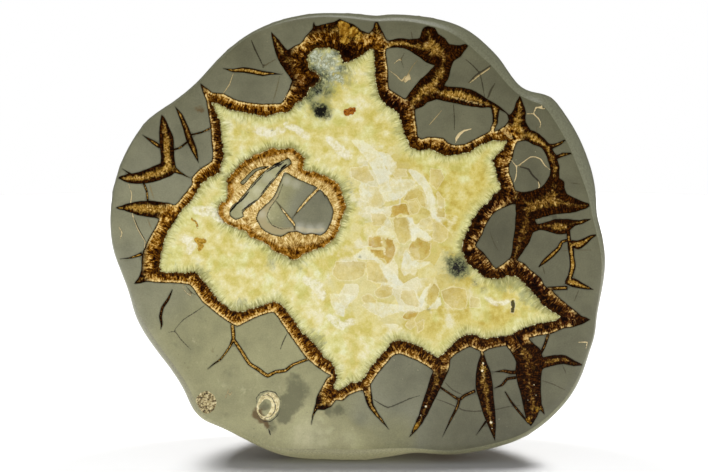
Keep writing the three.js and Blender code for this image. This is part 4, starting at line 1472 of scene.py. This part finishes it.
rindMaterial = weatheredRind()
bodyMesh, faceNormal, faceLevel, polish = weatheredBody(rindMaterial)
print("scene: body weathered,", len(bodyMesh.polygons), "faces")
stone, placed = wholeStone(bodyMesh, faceNormal, faceLevel, polish)
for material in (rindMaterial, polishedLimestone(), polishedAragonite(), polishedCalcite(), polishedShell(),
                 openGap()):
    stone.data.materials.append(material)
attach(stone, "root")
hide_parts("nodule")
print("scene: stone of", len(stone.data.polygons), "faces")


# Floor, light and camera.

studio = {
    "floorRadius": 0.9,
    "floorLamps": [  # turn from the face's side, elevation, strength, spread in degrees
        (114, 59, 4.2, 15),
        (-114, 60, 4.2, 15),
        (121, 64, 2.7, 15),
        (-121, 65, 2.7, 15),
        (0, 90, 1.6, 170),
    ],
    "stoneLamps": [
        (-36, -22, 0.46, 40), (36, -22, 0.42, 40), (0, -65, 1.0, 50), (0, 82, 3.2, 50),
    ],
    "skyStrength": 0.06,
}

floorMesh = bmesh.new()
bmesh.ops.create_circle(floorMesh, cap_ends=True, segments=96, radius=studio["floorRadius"])
floorData = bpy.data.meshes.new("floor")
floorMesh.to_mesh(floorData)
floorMesh.free()
floor = bpy.data.objects.new("floor", floorData)
bpy.context.collection.objects.link(floor)
floorMaterial, floorTree = newMaterial("plain studio floor")
finishMaterial(floorTree, {"Base Color": "#aaaaaa", "Roughness": 0.9, "Specular IOR Level": 0.1})
floor.data.materials.append(floorMaterial)


def addSun(name, lit, blocking, turn, elevation, strength, spread):
    # a broad soft lamp that lights only one thing and is shaded only by what blocks it
    lamp = bpy.data.lights.new(name, "SUN")
    lamp.energy = strength
    lamp.angle = math.radians(spread)
    holder = bpy.data.objects.new(name, lamp)
    turned, raised = math.radians(turn), math.radians(elevation)
    level = math.cos(raised)
    towards = Vector((math.sin(turned) * level, -math.cos(turned) * level, math.sin(raised)))
    holder.rotation_euler = towards.to_track_quat("Z", "Y").to_euler()
    bpy.context.collection.objects.link(holder)
    for use, things in (("receiver", [lit]), ("blocker", blocking)):
        linked = bpy.data.collections.new(name + use.capitalize())
        for thing in things:
            linked.objects.link(thing)
        setattr(holder.light_linking, use + "_collection", linked)


for number, lamp in enumerate(studio["floorLamps"]):
    addSun("floorLamp" + str(number), floor, [stone], *lamp)
for number, lamp in enumerate(studio["stoneLamps"]):
    addSun("stoneLamp" + str(number), stone, [stone], *lamp)

world = bpy.data.worlds.new("studio")
world.use_nodes = True
worldTree = world.node_tree
worldTree.nodes.clear()
seen = addNode(worldTree, "ShaderNodeBackground", {"Color": "#ffffff", "Strength": 1.0})
lit = addNode(worldTree, "ShaderNodeBackground", {"Color": "#ffffff", "Strength": studio["skyStrength"]})
direct = addNode(worldTree, "ShaderNodeLightPath", {}).outputs["Is Camera Ray"]
sky = addNode(worldTree, "ShaderNodeMixShader", {0: direct, 1: lit, 2: seen})
addNode(worldTree, "ShaderNodeOutputWorld", {"Surface": sky})
bpy.context.scene.world = world
bpy.context.scene.view_settings.view_transform = "Standard"

viewpoint = {
    "lens": 100.0,
    "sensorWidth": 36.0,
    "aimStep": (354.0, 236.0),  # drawing step in the middle of the view
    "distance": 0.6556,
    "elevation": 7.0,
}
cameraData = bpy.data.cameras.new("camera")
cameraData.lens = viewpoint["lens"]
cameraData.sensor_width = viewpoint["sensorWidth"]
camera = bpy.data.objects.new("camera", cameraData)
tilt = math.radians(viewpoint["elevation"])
aim = Vector(placed(toMm([viewpoint["aimStep"]]))[0])
camera.location = aim + viewpoint["distance"] * Vector((0, -math.cos(tilt), math.sin(tilt)))
camera.rotation_euler = (math.pi / 2 - tilt, 0, 0)
bpy.context.collection.objects.link(camera)
bpy.context.scene.camera = camera

print("scene: ready")
